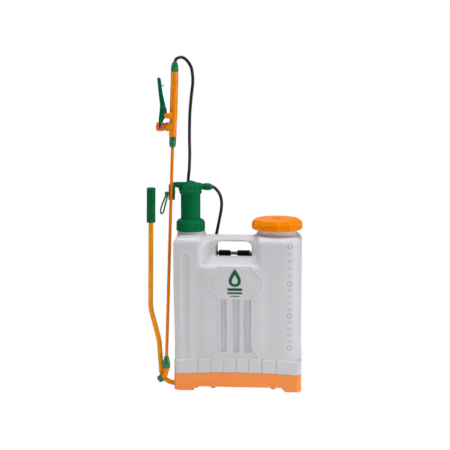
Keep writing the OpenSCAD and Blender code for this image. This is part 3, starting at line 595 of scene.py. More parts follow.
GREY = plastic("grey_plastic", (160, 160, 158), rough=0.45, vary=0.05)
DARK = plastic("dark_plastic", (34, 35, 38), rough=0.45, grain=0.15, vary=0.2, wear=0.3)
STEEL = steel("brushed_steel", (196, 197, 200), rough=0.3)
SEAL = plastic("seal_rubber", (22, 22, 23), rough=0.6, grain=0.15, vary=0.25, wear=0.1,
               uneven=0.05, spec=0.4)
HOSE_BLACK = plastic("hose_rubber", (24, 27, 31), rough=0.36, grain=0.1, vary=0.25, wear=0.1,
                     uneven=0.05, spec=0.4)
WEBBING = fabric("strap_webbing", (26, 27, 29), pitch=1.5)
PAD_CLOTH = fabric("pad_cloth", (44, 45, 49), pitch=1.1, depth=0.45, diagonal=True)
BINDING = fabric("pad_binding", (20, 20, 22), pitch=0.9, depth=0.4)
THREAD = fabric("stitch_thread", (120, 122, 124), pitch=0.5, depth=0.3)
MARK_GREY = plastic("tank_mark", (158, 158, 161), rough=0.45, vary=0.03, wear=0.05)
PRINT_GREEN = plastic("green_print", (0, 92, 50), rough=0.5, grain=0.05, vary=0.05, wear=0.0,
                      uneven=0.02, spec=0.2)

# ---------------------------------------------------------------- CAD pieces that stay in view
# piece, material, bevel width (0 for none)
CAD_FINISH = [
    ("base_tray", TRAY_ORANGE, 0.8), ("base_screws", STEEL, 0.2), ("shaft_bushes", DARK, 0.2),
    ("filler_strainer", WHITE, 0.2), ("cap_gasket", SEAL, 0.3),
    ("cap_vent_valve", CAP_ORANGE, 0.3), ("pump_barrel", WHITE, 0.4), ("pump_gasket", SEAL, 0.2),
    ("rod_seal", SEAL, 0.2), ("gland_nut", GREY, 0.3), ("inlet_strainer", STEEL, 0.15),
    ("delivery_ball", STEEL, 0), ("ball_stop_pin", STEEL, 0.2), ("crank_arm", STEEL, 0.4),
    ("crank_roller", WHITE, 0.2), ("crank_lock_pin", STEEL, 0.3), ("shaft_washer", STEEL, 0.2),
    ("shaft_split_pin", STEEL, 0.3), ("crosshead", STEEL, 0.5), ("piston_rod", STEEL, 0.3),
    ("piston", WHITE, 0.3), ("piston_seal", SEAL, 0.3), ("piston_nut", STEEL, 0.2),
    ("piston_valve_disc", SEAL, 0.2), ("gun_filter", WHITE, 0), ("nozzle_insert", WHITE, 0.1),
    ("nozzle_oring", SEAL, 0), ("trigger_pivot_pin", STEEL, 0.3), ("valve_stem", STEEL, 0.2),
    ("strap_anchor_bar", GREY, 0.5), ("trigger_lock", DARK_GREEN, 0.25),
    ("strap_hook_left", DARK, 0.5), ("strap_hook_right", DARK, 0.5),
]


def finish_node(name, material, bevel_width):
    """weld, small bevel and material for a CAD piece"""
    obj = frame["nodes"][name]
    obj.data.materials.clear()
    obj.data.materials.append(material)
    weld = obj.modifiers.new("weld", "WELD")
    weld.merge_threshold = 1e-6
    if bevel_width:
        bevel = obj.modifiers.new("bevel", "BEVEL")
        bevel.width = bevel_width * MM
        bevel.segments = 2
        bevel.limit_method = "ANGLE"
        bevel.angle_limit = math.radians(35)
        bevel.harden_normals = False
        bevel.use_clamp_overlap = True
    obj.data.polygons.foreach_set("use_smooth", np.ones(len(obj.data.polygons), bool))
    normals = obj.modifiers.new("wn", "WEIGHTED_NORMAL")
    normals.keep_sharp = True
    normals.weight = 60


for row in CAD_FINISH:
    finish_node(*row)

# ---------------------------------------------------------------- tank
SEAM_RADIUS, SEAM_Z = 2300.0, 54.6               # arched seam along the tank's lower edge
BAND_TOP_Z, BAND_LOW_Z = 95.3, 30                # band round the bottom
WALL = 3.4                                       # skirt's wall
BACK_GROOVES_Y = (-40, 0, 40)
BAND_GROOVES_X = (-111, -73.7, -36.2, -0.7, 34.5, 73.1, 116)
SLOTS = ((-36.6, 7.6), (-0.9, 8.8), (32.6, 9.6))  # front slots: centre x, half width


def tank_body(x, y, z):
    """rounded box, a little wider towards the top on the left, with a swelling in front.
    The front left corner is sharper than the others, the front right one rounder"""
    mid_x = x - TANK_X
    flare = np.where(mid_x < 0, 3.2, -0.4) * smoothstep((z - 110) / 220)
    front = y < 2
    corner = np.where((mid_x > 0) & front, 54.0, np.where((mid_x < 0) & front, 17.0, 28.0))
    outline = rect(mid_x, y - 2, TANK_WIDTH / 2 - 1.6 + flare, (TANK_DEPTH - 4) / 2, corner)
    shape = prism(outline, z, 225, 446 - 225, 23)
    swell = rect(x + 13, z - 232, 96, 146, 36)
    return shape - np.where(y < -60, 4.4 * smoothstep((8 - swell) / 34), 0)


def cut_handle(shape, x, y, z):
    """recesses before and behind the handle bar, which lies below the shoulders"""
    ledge = (z - 364.5) - (y + 86) * 0.48 * (1 - 0.85 * smoothstep(span(x, -14, 55) / 36))
    slant = np.clip(-40 - y, 0, 60) * np.where(x > -14, 0.20, 0.46)
    sides = np.abs(x + 14.5) - (69.5 + slant)
    recess = common(common(sides * 0.9, y + 38, 15), -ledge * 0.91, 9)
    shape = cut(shape, recess, 10)
    ledge = (z - 357) - (88 - y) * 0.40
    recess = common(common(span(x, -12.5, 76), 44 - y, 16), -ledge * 0.92, 10)
    shape = cut(shape, recess, 12)
    over_bar = common(span(x, -24, 76), 441.5 + np.abs(y - 2) ** 2 * -0.0045 - z, 12)
    return cut(shape, over_bar, 10)


def press_front(shape, x, y, z):
    """badge panel, three slots and a long loop on the left"""
    front = y < -70
    head = rect(x + 3.7, z - 317, 50.8, 46, 4)
    lobes = np.minimum(radial(x + 50.5, z - 314), radial(x - 43.5, z - 315.5)) - 30
    foot = np.clip((150 - z) / 52, 0, 1) ** 2 * 21
    column = rect(x + 1, z - 186, 45.2 + foot, 90, 4)
    panel = union(union(head, lobes, 2), column, 3)
    shape = press(shape, front, panel, depth=0.55, soft=3, rim=(1.7, 0.6, 1.7))
    for slot_x, half in SLOTS:
        slot = rect(x - slot_x, z - 192, half, 76.8, 2.5)
        shape = press(shape, front, slot, depth=7.6, soft=2.2, rim=(0.6, 2.6, 1.4))
    loop = rect(x + 145.8, z - 245, 11.4, 151, 11.3)
    shape = press(shape, front, loop, depth=1.3, soft=4, rim=(0.9, 2.2, 1.6))
    return press(shape, front, rect(x + 145.8, z - 242, 4.2, 138, 4.1), depth=0.9, soft=3)


def cut_hand_opening(shape, x, y, z):
    """opening under the handle bar; its floor falls to the back"""
    floor_z = 387 - np.clip(y + 36, 0, 80) * 0.218
    mid_z = (floor_z + 427.6) / 2
    corner = np.where(z > mid_z, 17.0, 3.0)
    return cut(shape, rect(x + 10.4, z - mid_z, 51.4, (427.6 - floor_z) / 2, corner), 8)


def add_band(shape, x, y, z, arch):
    """band round the bottom with an arched top edge and upright grooves"""
    mid_x = x - TANK_X
    outline = rect(mid_x, y, TANK_WIDTH / 2, TANK_DEPTH / 2, 16)
    top = BAND_TOP_Z - arch
    band = prism(outline, z, (top + BAND_LOW_Z) / 2, (top - BAND_LOW_Z) / 2, 2.4)
    shape = union(shape, band, 1.5)
    for groove_x in BAND_GROOVES_X:
        groove = np.maximum(span(x, groove_x, 1.0), span(z, 68, 26.5))
        shape = press(shape, np.abs(y) > 80, groove, depth=2.9, soft=1.6, start=0.62)
    for groove_y in BACK_GROOVES_Y:
        groove = np.maximum(span(y, groove_y, 1.0), span(z, 64, 22))
        shape = press(shape, np.abs(mid_x) > 170, groove, depth=1.9, soft=2.0, start=0.62)
    return shape


def press_back_and_sides(shape, x, y, z):
    """sunk panel with two upright channels at the back, one long channel on each side"""
    back = y > 70
    shape = press(shape, back, rect(x + 10, z - 225, 112, 108, 22), depth=3.0, soft=9)
    for channel_x in (-60, 40):
        channel = rect(x - channel_x, z - 225, 9, 88, 9)
        shape = press(shape, back, channel, depth=3.0, soft=5)
    for sign in (-1, 1):
        channel = rect(y - 2, z - 255, 26, 120, 20)
        shape = press(shape, sign * (x - TANK_X) > 150, channel, depth=2.2, soft=7)
    return shape


def add_necks(shape, x, y, z):
    """filler and pump necks with their bores, and the pump well"""
    filler, pump = radial(x - CAP_X, y - CAP_Y), radial(x - PUMP_X, y - PUMP_Y)
    # distance from the axis, radius, centre z, half height, edge rounding, blend
    for off_axis, radius, mid_z, half, edge, blend in (
            (filler, 55.4, 459, 19, 1.2, 1), (filler, 58.6, 450, 1.7, 1.0, 0.6),
            (filler, 59.0, 442, 4.0, 1.5, 3), (pump, 38.2, 453, 13, 1.0, 3),
            (pump, 40.0, 443, 5.5, 1.5, 3)):
        shape = union(shape, prism(off_axis - radius, z, mid_z, half, edge), blend)
    shape = cut(shape, prism(filler - 53, z, 440, 60, 3), 1.0)
    shape = cut(shape, prism(pump - 35, z, 280, 208, 2), 1.0)
    return cut(shape, prism(pump - 12.2, z, 60, 40, 0.5), 0.5)


def tank_distance(x, y, z):
    mid_x = x - TANK_X
    arch = mid_x * mid_x / (2 * SEAM_RADIUS)
    shape = cut_handle(tank_body(x, y, z), x, y, z)
    shape = press_front(shape, x, y, z)
    shape = cut_hand_opening(shape, x, y, z)
    shape = add_band(shape, x, y, z, arch)
    shape = press_back_and_sides(shape, x, y, z)
    shape = add_necks(shape, x, y, z)
    hollow = rect(mid_x, y, TANK_WIDTH / 2 - WALL, TANK_DEPTH / 2 - WALL, 12.6)
    shape = cut(shape, hollow + np.maximum(z - 66, 0) * 50, 0.5)
    return np.maximum(shape, -(z - (SEAM_Z - arch + 0.3)))


tank = solid("tank_body", (TANK_LOW[0] - 3, TANK_LOW[1] - 4, 38),
             (TANK_HIGH[0] + 3, TANK_HIGH[1], 480), (3.0, 1.4), tank_distance, TANK_WHITE)
place(tank, "tank", "tank_shell")

_tank_mesh = bmesh.new()
_tank_mesh.from_mesh(tank.data)
TANK_TREE = BVHTree.FromBMesh(_tank_mesh)
_tank_mesh.free()


def front_y(x, z):
    """the tank's front surface at (x, z), or a typical depth where there is none"""
    hit = TANK_TREE.ray_cast(Vector((x * MM, -0.3, z * MM)), Vector((0, 1, 0)))[0]
    return hit.y * 1000 if hit is not None else -84.0


# ---------------------------------------------------------------- litre scale
MARK_X = 152.0
MARK_HEIGHT = 0.9                                # how far a mark stands proud


def litre_z(litres):
    """18.7 mm a litre, and 21.6 above 15, where the hand opening takes room from the tank"""
    return 129.0 + 18.7 * min(litres - 5, 10) + 21.6 * max(litres - 15, 0)


def ridge(points, half_width, base):
    """verts and faces of a small ridge along (x, z) points of the front"""
    path = np.array([(x, front_y(x, z), z) for x, z in points], float)
    count = len(path)
    outward = np.tile([0.0, -1.0, 0.0], (count, 1))
    across = np.cross(tangents(path), outward)
    shoulder, height = half_width * 0.72, MARK_HEIGHT
    section = [(-half_width, -0.6), (-shoulder, height * 0.75), (0, height),
               (shoulder, height * 0.75), (half_width, -0.6)]
    verts = np.concatenate([path + a * across + b * outward for a, b in section])
    faces = []
    for i in range(count - 1):
        for j in range(5):
            here, after = base + j * count + i, base + (j + 1) % 5 * count + i
            faces.append([here, here + 1, after + 1, after])
    faces.append([base + j * count for j in range(5)])
    faces.append([base + j * count + count - 1 for j in range(5)][::-1])
    return verts, faces


def litre_marks():
    """a ring at every fifth litre, a short bar at the others"""
    verts, faces = [], []
    for litres in range(5, 21):
        z = litre_z(litres)
        if litres % 5 == 0:
            turns = [math.radians(360 * i / 28) for i in range(29)]
            points = [(MARK_X + 6.4 * math.cos(t), z + 6.4 * math.sin(t)) for t in turns]
            half_width = 1.0
        else:
            points = [(MARK_X - 7 + 14 * i / 6, z) for i in range(7)]
            half_width = 1.1
        more_verts, more_faces = ridge(points, half_width, sum(len(v) for v in verts))
        verts.append(more_verts)
        faces += more_faces
    return mesh_object("litre_marks", np.concatenate(verts), faces, MARK_GREY)


place(litre_marks(), "tank")


# ---------------------------------------------------------------- printed emblem
def plate(name, outline, hole=None):
    """thin printed pad that follows the front, from its (x, z) outline; hole makes it a ring"""
    count = len(outline)
    centre = np.mean(outline, 0)
    inner = hole or [(centre[0] + (x - centre[0]) * 0.02, centre[1] + (z - centre[1]) * 0.02)
                     for x, z in outline]
    steps = 6
    verts, faces = [], []
    for lift in (-0.5, 0.45):                    # underside, top
        for j in range(steps + 1):
            t = j / steps
            for a, b in zip(outline, inner):
                x, z = a[0] + (b[0] - a[0]) * t, a[1] + (b[1] - a[1]) * t
                verts.append((x, front_y(x, z) - lift, z))
    layer = count * (steps + 1)
    for top in (0, 1):
        for quad in grid_faces(steps + 1, count, base=top * layer):
            faces.append(quad if top else quad[::-1])
    for j in (0, steps):
        for i in range(count):
            here, after = j * count + i, j * count + (i + 1) % count
            quad = [here, after, layer + after, layer + here]
            faces.append(quad if j else quad[::-1])
    place(mesh_object(name, verts, faces, PRINT_GREEN, smooth=False), "tank")


def drop_outline(x, z, width, height, count=72):
    """water drop: round below, drawn to a point above"""
    out = []
    for i in range(count):
        t = 2 * math.pi * i / count
        out.append((x + width / 2 * math.sin(t) * abs(math.sin(t / 2)) ** 1.25 * 1.16,
                    z + height / 2 * math.cos(t)))
    return out


def bar_outline(x, z, width, height, steps=10):
    """bar with half-round ends"""
    out = []
    radius = height / 2
    for side, first in ((1, -90), (-1, 90)):
        for i in range(steps + 1):
            t = math.radians(first + 180 * i / steps)
            out.append((x + side * (width / 2 - radius) + radius * math.cos(t),
                        z + radius * math.sin(t)))
    return out


EMBLEM_X = -4
plate("drop_emblem", drop_outline(EMBLEM_X, 332.5, 41, 52),
      hole=drop_outline(EMBLEM_X, 327.5, 20, 27))
for i, (bar_z, width, height) in enumerate(((298.5, 43, 7.5), (288, 43, 5), (279, 26, 2.6))):
    plate(f"emblem_bar_{i}", bar_outline(EMBLEM_X, bar_z, width, height))

# ---------------------------------------------------------------- filler cap
CAP_SIDES = 12
# Lathe profiles have the columns radius, z, corner rounding
CAP_PROFILE = [
    (57.4, 462.0, 0), (CAP_RADIUS - 3.0, 462.0, 1), (CAP_RADIUS, 464.5, 1.5),
    (CAP_RADIUS, 479.4, 1.2), (CAP_RADIUS - 4.5, 487.6, 2), (CAP_RADIUS - 11, 491.0, 4),
    (48, 492.6, 1.5), (44, 491.4, 1), (12, 491.4, 0.4), (11.6, 488.6, 0.4), (9.8, 488.6, 0.2),
    (9.8, 486.5, 0.2), (57.4, 485, 0)]


def cap_shape(angle, radius, z):
    """twelve-sided skirt with softened corners, drawn in to a round crown"""
    side = 2 * math.pi / CAP_SIDES
    off_mid = ((angle / side - 0.033) % 1.0 - 0.5) * side
    flat = np.minimum(math.cos(math.pi / CAP_SIDES) / np.cos(off_mid), 0.997) / 0.997
    weight = np.clip((z - 463) / 2, 0, 1) * np.clip((491.0 - z) / 5, 0, 1)
    return np.where(radius > 58, radius * (1 - weight * (1 - flat) * 1.35), radius)


place(lathe("filler_cap_moulding", CAP_PROFILE, (CAP_X, CAP_Y, 0), 240, 1.5, CAP_ORANGE,
            shape=cap_shape), "cap", "filler_cap")

# ---------------------------------------------------------------- pump
UNION_PROFILE = [
    (38.4, 455, 0), (NUT_RADIUS - 1.5, 455, 1), (NUT_RADIUS, 457.5, 2), (NUT_RADIUS, 479, 4),
    (NUT_RADIUS - 3.5, 486.5, 5), (NUT_RADIUS - 10.5, 489.9, 1.5), (28.6, 490, 0.5),
    (28.6, 482, 0), (38.4, 477, 0)]
CHAMBER_PROFILE = [(25.3, 471.1, 0), (37.4, 471.1, 0.4), (37.4, 476.9, 0.4), (28.25, 477.0, 1),
                   (28.25, 569.9, 0.5), (25.3, 569.9, 0)]
OUTLET_PROFILE = [(6.25, 40.3, 0), (10.4, 40.3, 0.8), (10.4, 53.5, 1), (8.0, 60.5, 1),
                  (6.2, 64, 0.5), (4.9, 64, 0.2), (4.9, 55, 0), (6.25, 54, 0)]


def chamber_shape(angle, radius, z):
    """twelve shallow flutes"""
    wave = 0.5 + 0.5 * np.cos(angle * 12 + 0.6)
    fade = np.clip((z - 494) / 5, 0, 1) * np.clip((562 - z) / 5, 0, 1)
    return radius - np.where((radius > 26) & (radius < 30), 0.55 * wave ** 3 * fade, 0)


def head_distance(x, y, z):
    off_axis = radial(x - PUMP_X, y - PUMP_Y)
    angle = np.arctan2(y - PUMP_Y, x - PUMP_X)
    shape = prism(off_axis - 32, z, 568.5, 5.8, 1.6)      # collar over the column's top
    # ribbed dome with a button on top
    up = z - 571.5
    dome = np.sqrt((x - PUMP_X) ** 2 + (y - PUMP_Y) ** 2 + (up * 1.03) ** 2) - 28.2
    dome = np.maximum(dome, -up)
    wave = 0.5 + 0.5 * np.cos(angle * 20)
    rib = (1.9 * np.clip(wave * 1.7 - 0.55, 0, 1) * np.clip(off_axis / 6, 0, 1)
           * np.clip((29 - up) / 4, 0, 1))
    shape = union(shape, dome - rib, 1.5)
    shape = union(shape, prism(off_axis - 7, z, 597.5, 3.0, 1.5), 2)
    # left arm: flat socket for the lance holder
    arm = prism(rect(y - ARM_Y, z - ARM_Z, 7.0, 8.2, 3.0), x, PUMP_X - 29, 12.0, 1.2)
    web = prism(rect(y - ARM_Y, z - 578, 3.0, 6, 1), x, PUMP_X - 27, 7, 1)
    shape = union(shape, union(arm, web, 3), 3)
    # right arm for the hose
    shape = union(shape, rod(x, y, z, outlet(18), outlet(39.8), 8.8, 1.0), 4)
    shape = union(shape, rod(x, y, z, outlet(20), outlet(30), 11.0, 2.5), 4)
    shape = union(shape, rod(x, y, z, outlet(38), outlet(54), 6.1, 0.5))
    # the socket's bore, and the recess for the column
    socket = radial(y - ARM_Y, z - ARM_Z) - 5.05
    shape = cut(shape, socket + np.maximum(x - (PUMP_X - 32), 0) * 3)
    return cut(shape, common(off_axis - 28.4, z - 569.9))


place(lathe("union_nut_moulding", UNION_PROFILE, (PUMP_X, PUMP_Y, 0), 192, 2, GREEN,
            shape=fluted(16, 1.1, NUT_RADIUS - 6, high=478, fade=4, bias=1.1)),
      "tank", "pump_union_nut")
place(lathe("air_chamber_moulding", CHAMBER_PROFILE, (PUMP_X, PUMP_Y, 0), 192, 3, GREEN,
            shape=chamber_shape), "tank", "pump_column")
head_low, head_high = box_mm("pump_head")
place(solid("pump_head_moulding", (head_low[0], head_low[1], 561.5),
            (head_high[0], head_high[1], head_high[2] + 1), (1.2, 0.75), head_distance, GREEN),
      "tank", "pump_head")
place(lathe("outlet_nut_moulding", OUTLET_PROFILE, outlet(0), 96, 1, GREEN,
            axes=axes_along(OUTLET_AXIS), shape=fluted(12, 1.0, 8.6, low=41, high=54)),
      "tank", "outlet_nut")

# ---------------------------------------------------------------- lever
# Bends of the lever: (turn in degrees, bend radius), or (0, length) for a straight
LEVER_BENDS = [(86.5, 40), (0, 74), (-10.7, 156), (0, 67), (15, 130), (0, 329)]
GRIP_LENGTH = 98
GRIP_PROFILE = [
    (7.05, 0, 0), (12.2, 0, 0.5), (12.8, 0.8, 0.6), (12.6, 5, 0.5), (12.4, 50, 0), (12.6, 96, 1),
    (12.2, 98.4, 1.0), (10.6, 100, 1.2), (2.0, 100.3, 0.2), (2.0, 97.6, 0), (7.05, 97.2, 0)]


def trace_bends(bends):
    """centre line (rise, way out), starting at the shaft's end and heading straight out"""
    point, heading = np.array([0.0, 0.0]), 0.0
    line = [point]
    for turn, size in bends:
        start = math.radians(heading)
        if turn == 0:
            ahead = np.array([math.sin(start), math.cos(start)])
            count = int(size / 12)
            line += [point + size * i / count * ahead for i in range(1, count + 1)]
        else:
            side = 1 if turn > 0 else -1
            centre = point + side * size * np.array([math.cos(start), -math.sin(start)])
            count = int(abs(turn) / 2.5)
            for i in range(1, count + 1):
                t = math.radians(heading + turn * i / count)
                line.append(centre + size * np.array([-side * math.cos(t), side * math.sin(t)]))
            heading += turn
        point = line[-1]
    return np.array(line)


rise, way_out = trace_bends(LEVER_BENDS).T
arm_line = np.stack([-180 - way_out, np.full(len(rise), SHAFT_Y), SHAFT_Z + rise], 1)
shaft_line = np.array([[x, SHAFT_Y, SHAFT_Z] for x in np.linspace(122.9, -178, 60)])
place(tube("lever_tube_bent", np.concatenate([shaft_line, arm_line]), 7.0, 40, LEVER_PAINT,
           inner=5.5, ref=(0, 0, 1)), "lever", "lever_tube")
grip_axis = unit(arm_line[-1] - arm_line[-4])
grip_start = arm_line[-1] + grip_axis * 2 - grip_axis * GRIP_LENGTH
place(lathe("lever_grip_moulding", GRIP_PROFILE, grip_start, 216, 1.5, DARK_GREEN,
            axes=axes_along(grip_axis),
            shape=fluted(18, 0.75, 11, low=7, high=93, fade=3, gain=1.8, bias=0.9)),
      "lever", "lever_grip")

# ---------------------------------------------------------------- hose
# From the pump's outlet down behind the lance, up in a loop and down into the gun's top
HOSE_POINTS = [
    outlet(54.9), outlet(62), outlet(67),
    (-61.5, 13, 570), (-53.4, 20, 554.5), (-50.3, 30, 535.7), (-51.5, 42, 514.4),
    (-56.1, 56, 491.4), (-63.1, 74, 460), (-70, 88, 430), (-77, 94, 400), (-84, 96, 350),
    (-88, 96, 300), (-99, 96, 264), (-117, 96, 264), (-130, 96, 300), (-140, 96, 380),
    (-147, 94, 440), (-151, 80, 500), (-152, 60, 565), (-149.5, 51, 600), (-145.8, 45, 633),
    (-143.9, 40, 676), (-144, 35, 723), (-142, 30, 788), (-137, 26, 842), (-132.8, 24, 875),
    (-132.4, 22, 896), (-135, 20, 918), (-139.2, 19, 929), (-146.2, 18, 940),
    (-155.4, 16, 948.7), (-164, 14.5, 952), (-172, 13, 950.5), (-178.6, 12, 946.5),
    on_lance(0.2, 0, 881), on_lance(0, 0, 874), on_lance(0, 0, 860.4)]
hose = tube("hose_black", catmull(HOSE_POINTS, 10), 4.5, 24, HOSE_BLACK, inner=3.3)
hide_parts("hose")
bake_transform(hose)


# ---------------------------------------------------------------- gun, in the lance's frame
def gun_distance(x, y, z):
    off_axis = radial(x, y)
    to_pivot = radial(x - PIVOT_X, z - PIVOT_Z)
    wave = np.cos(np.clip((z - 667) / 185.0, 0, 1) * 2 * math.pi)
    shape = prism(off_axis - (10.6 - 0.25 * wave), z, 759.6, 92.4, 1.6)
    for collar_z in (673, 846.5):
        shape = union(shape, prism(off_axis - 10.85, z, collar_z, 5.8, 1.2), 1.0)
    # grip grooves across the two y faces, 7 mm apart
    off_groove = np.abs(((z - 760) / 7.0 + 0.5) % 1.0 - 0.5) * 7.0
    shape = shape + 0.7 * (np.clip(1 - off_groove / 1.4, 0, 1)
                           * np.clip((6.5 - np.abs(x)) / 1.5, 0, 1) * (np.abs(z - 785) < 48))
    # ridge along the side away from the trigger
    shape = union(shape, prism(rect(x - 10.2, y, 1.2, 1.4, 0.8), z, 780, 62, 1), 0.8)
    # valve boss, fuller towards the handle
    shape = union(shape, rod(x, y, z, (-28, 0, VALVE_Z), (-4, 0, VALVE_Z), 10.9, 1.0), 3.0)
    shape = union(shape, rod(x, y, z, (-22, 0, VALVE_Z), (-3, 0, VALVE_Z), 12.9, 4.0), 2.0)
    # yoke for the trigger's pin: a crossbar and two ears outside the trigger's cheeks
    shape = union(shape, prism(rect(x + 8.2, z - 727.5, 3.4, 8.2, 2.5), y, 0, 19.9, 1), 3)
    ear = union(rect(x + 12, z - 727.5, 8, 6.5, 3), to_pivot - 6.6, 2)
    shape = union(shape, prism(ear, np.abs(y), 18.9, 1.05, 0.6), 1)
    shape = union(shape, prism(rect(x + 12, z - PIVOT_Z, 8.5, 7, 4), y, 0, 5.0, 1), 1.5)
    # spigots for the lance nut and the hose nut
    shape = union(shape, prism(off_axis - 6.5, z, 658, 9, 0.5))
    shape = union(shape, prism(off_axis - 6.3, z, 856, 4, 0.5))
    # bores: pivot, lance, valve, valve stem, handle
    off_valve = radial(y, z - VALVE_Z)
    for bore in (common(to_pivot - 2.54, span(y, 0, 18.65)),
                 common(off_axis - 4.56, z - 660),
                 common(off_valve - 6.4, span(x, -14, 9.8)),
                 common(off_valve - 2.6, x + 20),
                 common(off_axis - 4.99, span(z, 778, 70))):
        shape = cut(shape, bore)
    return shape


# Trigger outlines (x, z)
PADDLE = [(-22, 741), (-24.5, 758), (-33, 790), (-40, 833), (-43.5, 836.4), (-48, 834.5),
          (-48.6, 831), (-43.6, 790), (-38.6, 758), (-37, 741)]
CHEEK = [(-37, 750), (-22, 750), (-20.5, 734), (-14.5, 731), (-13.6, 724), (-18, 721.5),
         (-25, 722), (-30, 716.5), (-33, 707), (-30.6, 699), (-31.2, 690), (-36, 688.4),
         (-39.6, 693), (-39.9, 716), (-38.6, 733)]
BRIDGE = [(-26, 737), (-22.5, 743), (-24.5, 753), (-37.8, 753), (-36.8, 737)]


def trigger_distance(x, y, z):
    to_pivot = radial(x - PIVOT_X, z - PIVOT_Z)
    # paddle: tapered bar with rounded edges, hollowed on the gun's side
    outline = polygon(x, z, PADDLE)
    inside_y, inside_z = span(y, 0, 5.4), span(z, 787, 22)
    opening = common(common(inside_y, inside_z, 1), -(x + 33.5 + (z - 787) * 0.155), 1)
    hollow = common(union(common(outline + 2.4, inside_y, 1), opening), inside_z)
    paddle = cut(prism(outline, y, 0, 8, 2.2), hollow, 0.8)
    # cheeks: crescent arms down to the valve's pin
    cheek = union(polygon(x, z, CHEEK), to_pivot - 5.4, 1.0)
    cheek = prism(cheek, np.abs(y), 15.75, 1.75, 0.7)
    bridge = prism(polygon(x, z, BRIDGE), y, 0, 17.5, 1.2)
    shape = union(union(paddle, bridge, 3), cheek, 1.0)
    shape = cut(shape, to_pivot - 2.58)
    # slot for the valve's pin, tilted 12 degrees
    cos, sin = math.cos(math.radians(12)), math.sin(math.radians(12))
    off_x, off_z = x - VALVE_X, z - VALVE_Z
    across, along = off_x * cos + off_z * sin, -off_x * sin + off_z * cos
    shape = cut(shape, radial(across, np.maximum(span(along, -1.9, 1.9), 0)) - 1.8)
    # seat of the catch
    return cut(shape, prism(rect(x + 34.6, z - 814.1, 6.0, 3.7, 0.5), y, 0, 2.6, 0.3))


def lance_solid(name, low, high, steps, distance, material):
    return solid(name, low, high, steps, distance, material, LANCE_AXES, LANCE_ORIGIN)


place(lance_solid("gun_handle_moulding", (-29, -21, 648.5), (12.5, 21, 860.5), (1.1, 0.7),
                  gun_distance, GUN_ORANGE), "gun", "gun_body")
place(lance_solid("trigger_moulding", (-50, -18.5, 687), (-12, 18.5, 838), (1.1, 0.7),
                  trigger_distance, DARK_GREEN), "trigger", "trigger_lever")

VALVE_CAP_PROFILE = [(9.1, -28.2, 0), (12.6, -28.2, 0.4), (13, -29, 0.5), (13, -45.2, 1.5),
                     (10.8, -47.9, 1), (2.0, -47.2, 0.2), (2.0, -45.6, 0), (9.1, -45.6, 0)]
HOSE_NUT_PROFILE = [(6.45, 852.7, 0), (10.8, 852.7, 0.8), (10.8, 866, 2), (8.6, 875, 2),
                    (7.0, 880.4, 0.8), (5.0, 880.4, 0.2), (5.0, 860.2, 0), (6.45, 860.2, 0)]
UPPER_NUT_PROFILE = [
    (4.56, 638, 0), (7.6, 638, 0.5), (8.2, 639.5, 0.6), (9.9, 648, 1.5), (9.9, 665, 0.8),
    (9.4, 666.8, 0.3), (6.65, 666.8, 0.1), (6.65, 649, 0), (4.56, 649, 0)]
LANCE_PROFILE = [(3.3, 10, 0), (4.48, 10, 0.3), (4.48, 660, 0.3), (3.3, 660, 0)]
LOWER_NUT_PROFILE = [
    (7.55, 0.5, 0), (10.4, 0.5, 0.4), (11, 1.5, 0.6), (11, 12, 2.5), (9.2, 22, 2),
    (6.2, 34.5, 1), (5.4, 35.1, 0.3), (4.56, 35.1, 0), (4.56, 13.2, 0), (7.55, 13.2, 0)]

place(lathe("valve_cap_moulding", VALVE_CAP_PROFILE, on_lance(0, 0, VALVE_Z), 120, 1, VALVE_RED,
            axes=LANCE_AXES @ axes_along((1, 0, 0)),
            shape=fluted(12, 1.1, 11, high=-36, fade=2, gain=1.8, bias=0.9)),
      "gun", "valve_cap")
# name, profile, segments, step, material, shape, slot, CAD node
for name, profile, segments, step, material, shape, slot, node in (
        ("hose_nut_moulding", HOSE_NUT_PROFILE, 120, 1, FITTING_GREEN,
         fluted(12, 1.0, 9.5, low=854, high=867), "green_light", "gun_hose_nut"),
        ("lance_nut_moulding", UPPER_NUT_PROFILE, 120, 1, FITTING_GREEN,
         fluted(12, 0.9, 8.8, low=647, high=665), "green_light", "lance_nut_upper"),
        ("lance_tube_round", LANCE_PROFILE, 48, 12, LANCE_ORANGE,
         None, "lance_orange", "lance_tube"),
        ("lance_lower_nut_moulding", LOWER_NUT_PROFILE, 120, 1, FITTING_GREEN,
         fluted(12, 1.1, 9.4, low=2, high=16), "green_light", "lance_nut_lower")):
    place(lathe(name, profile, LANCE_ORIGIN, segments, step, material, axes=LANCE_AXES,
                shape=shape), "gun", node)

# ---------------------------------------------------------------- lance holder and clip
# The arm's end and the sprayer's x axis, both in the lance's frame
ARM_END = (np.array([PUMP_X - 41.5, ARM_Y, ARM_Z]) - LANCE_ORIGIN) @ LANCE_AXES
ARM_AXIS = np.array([1.0, 0, 0]) @ LANCE_AXES
KNOB_Y, KNOB_Z = 2, 505


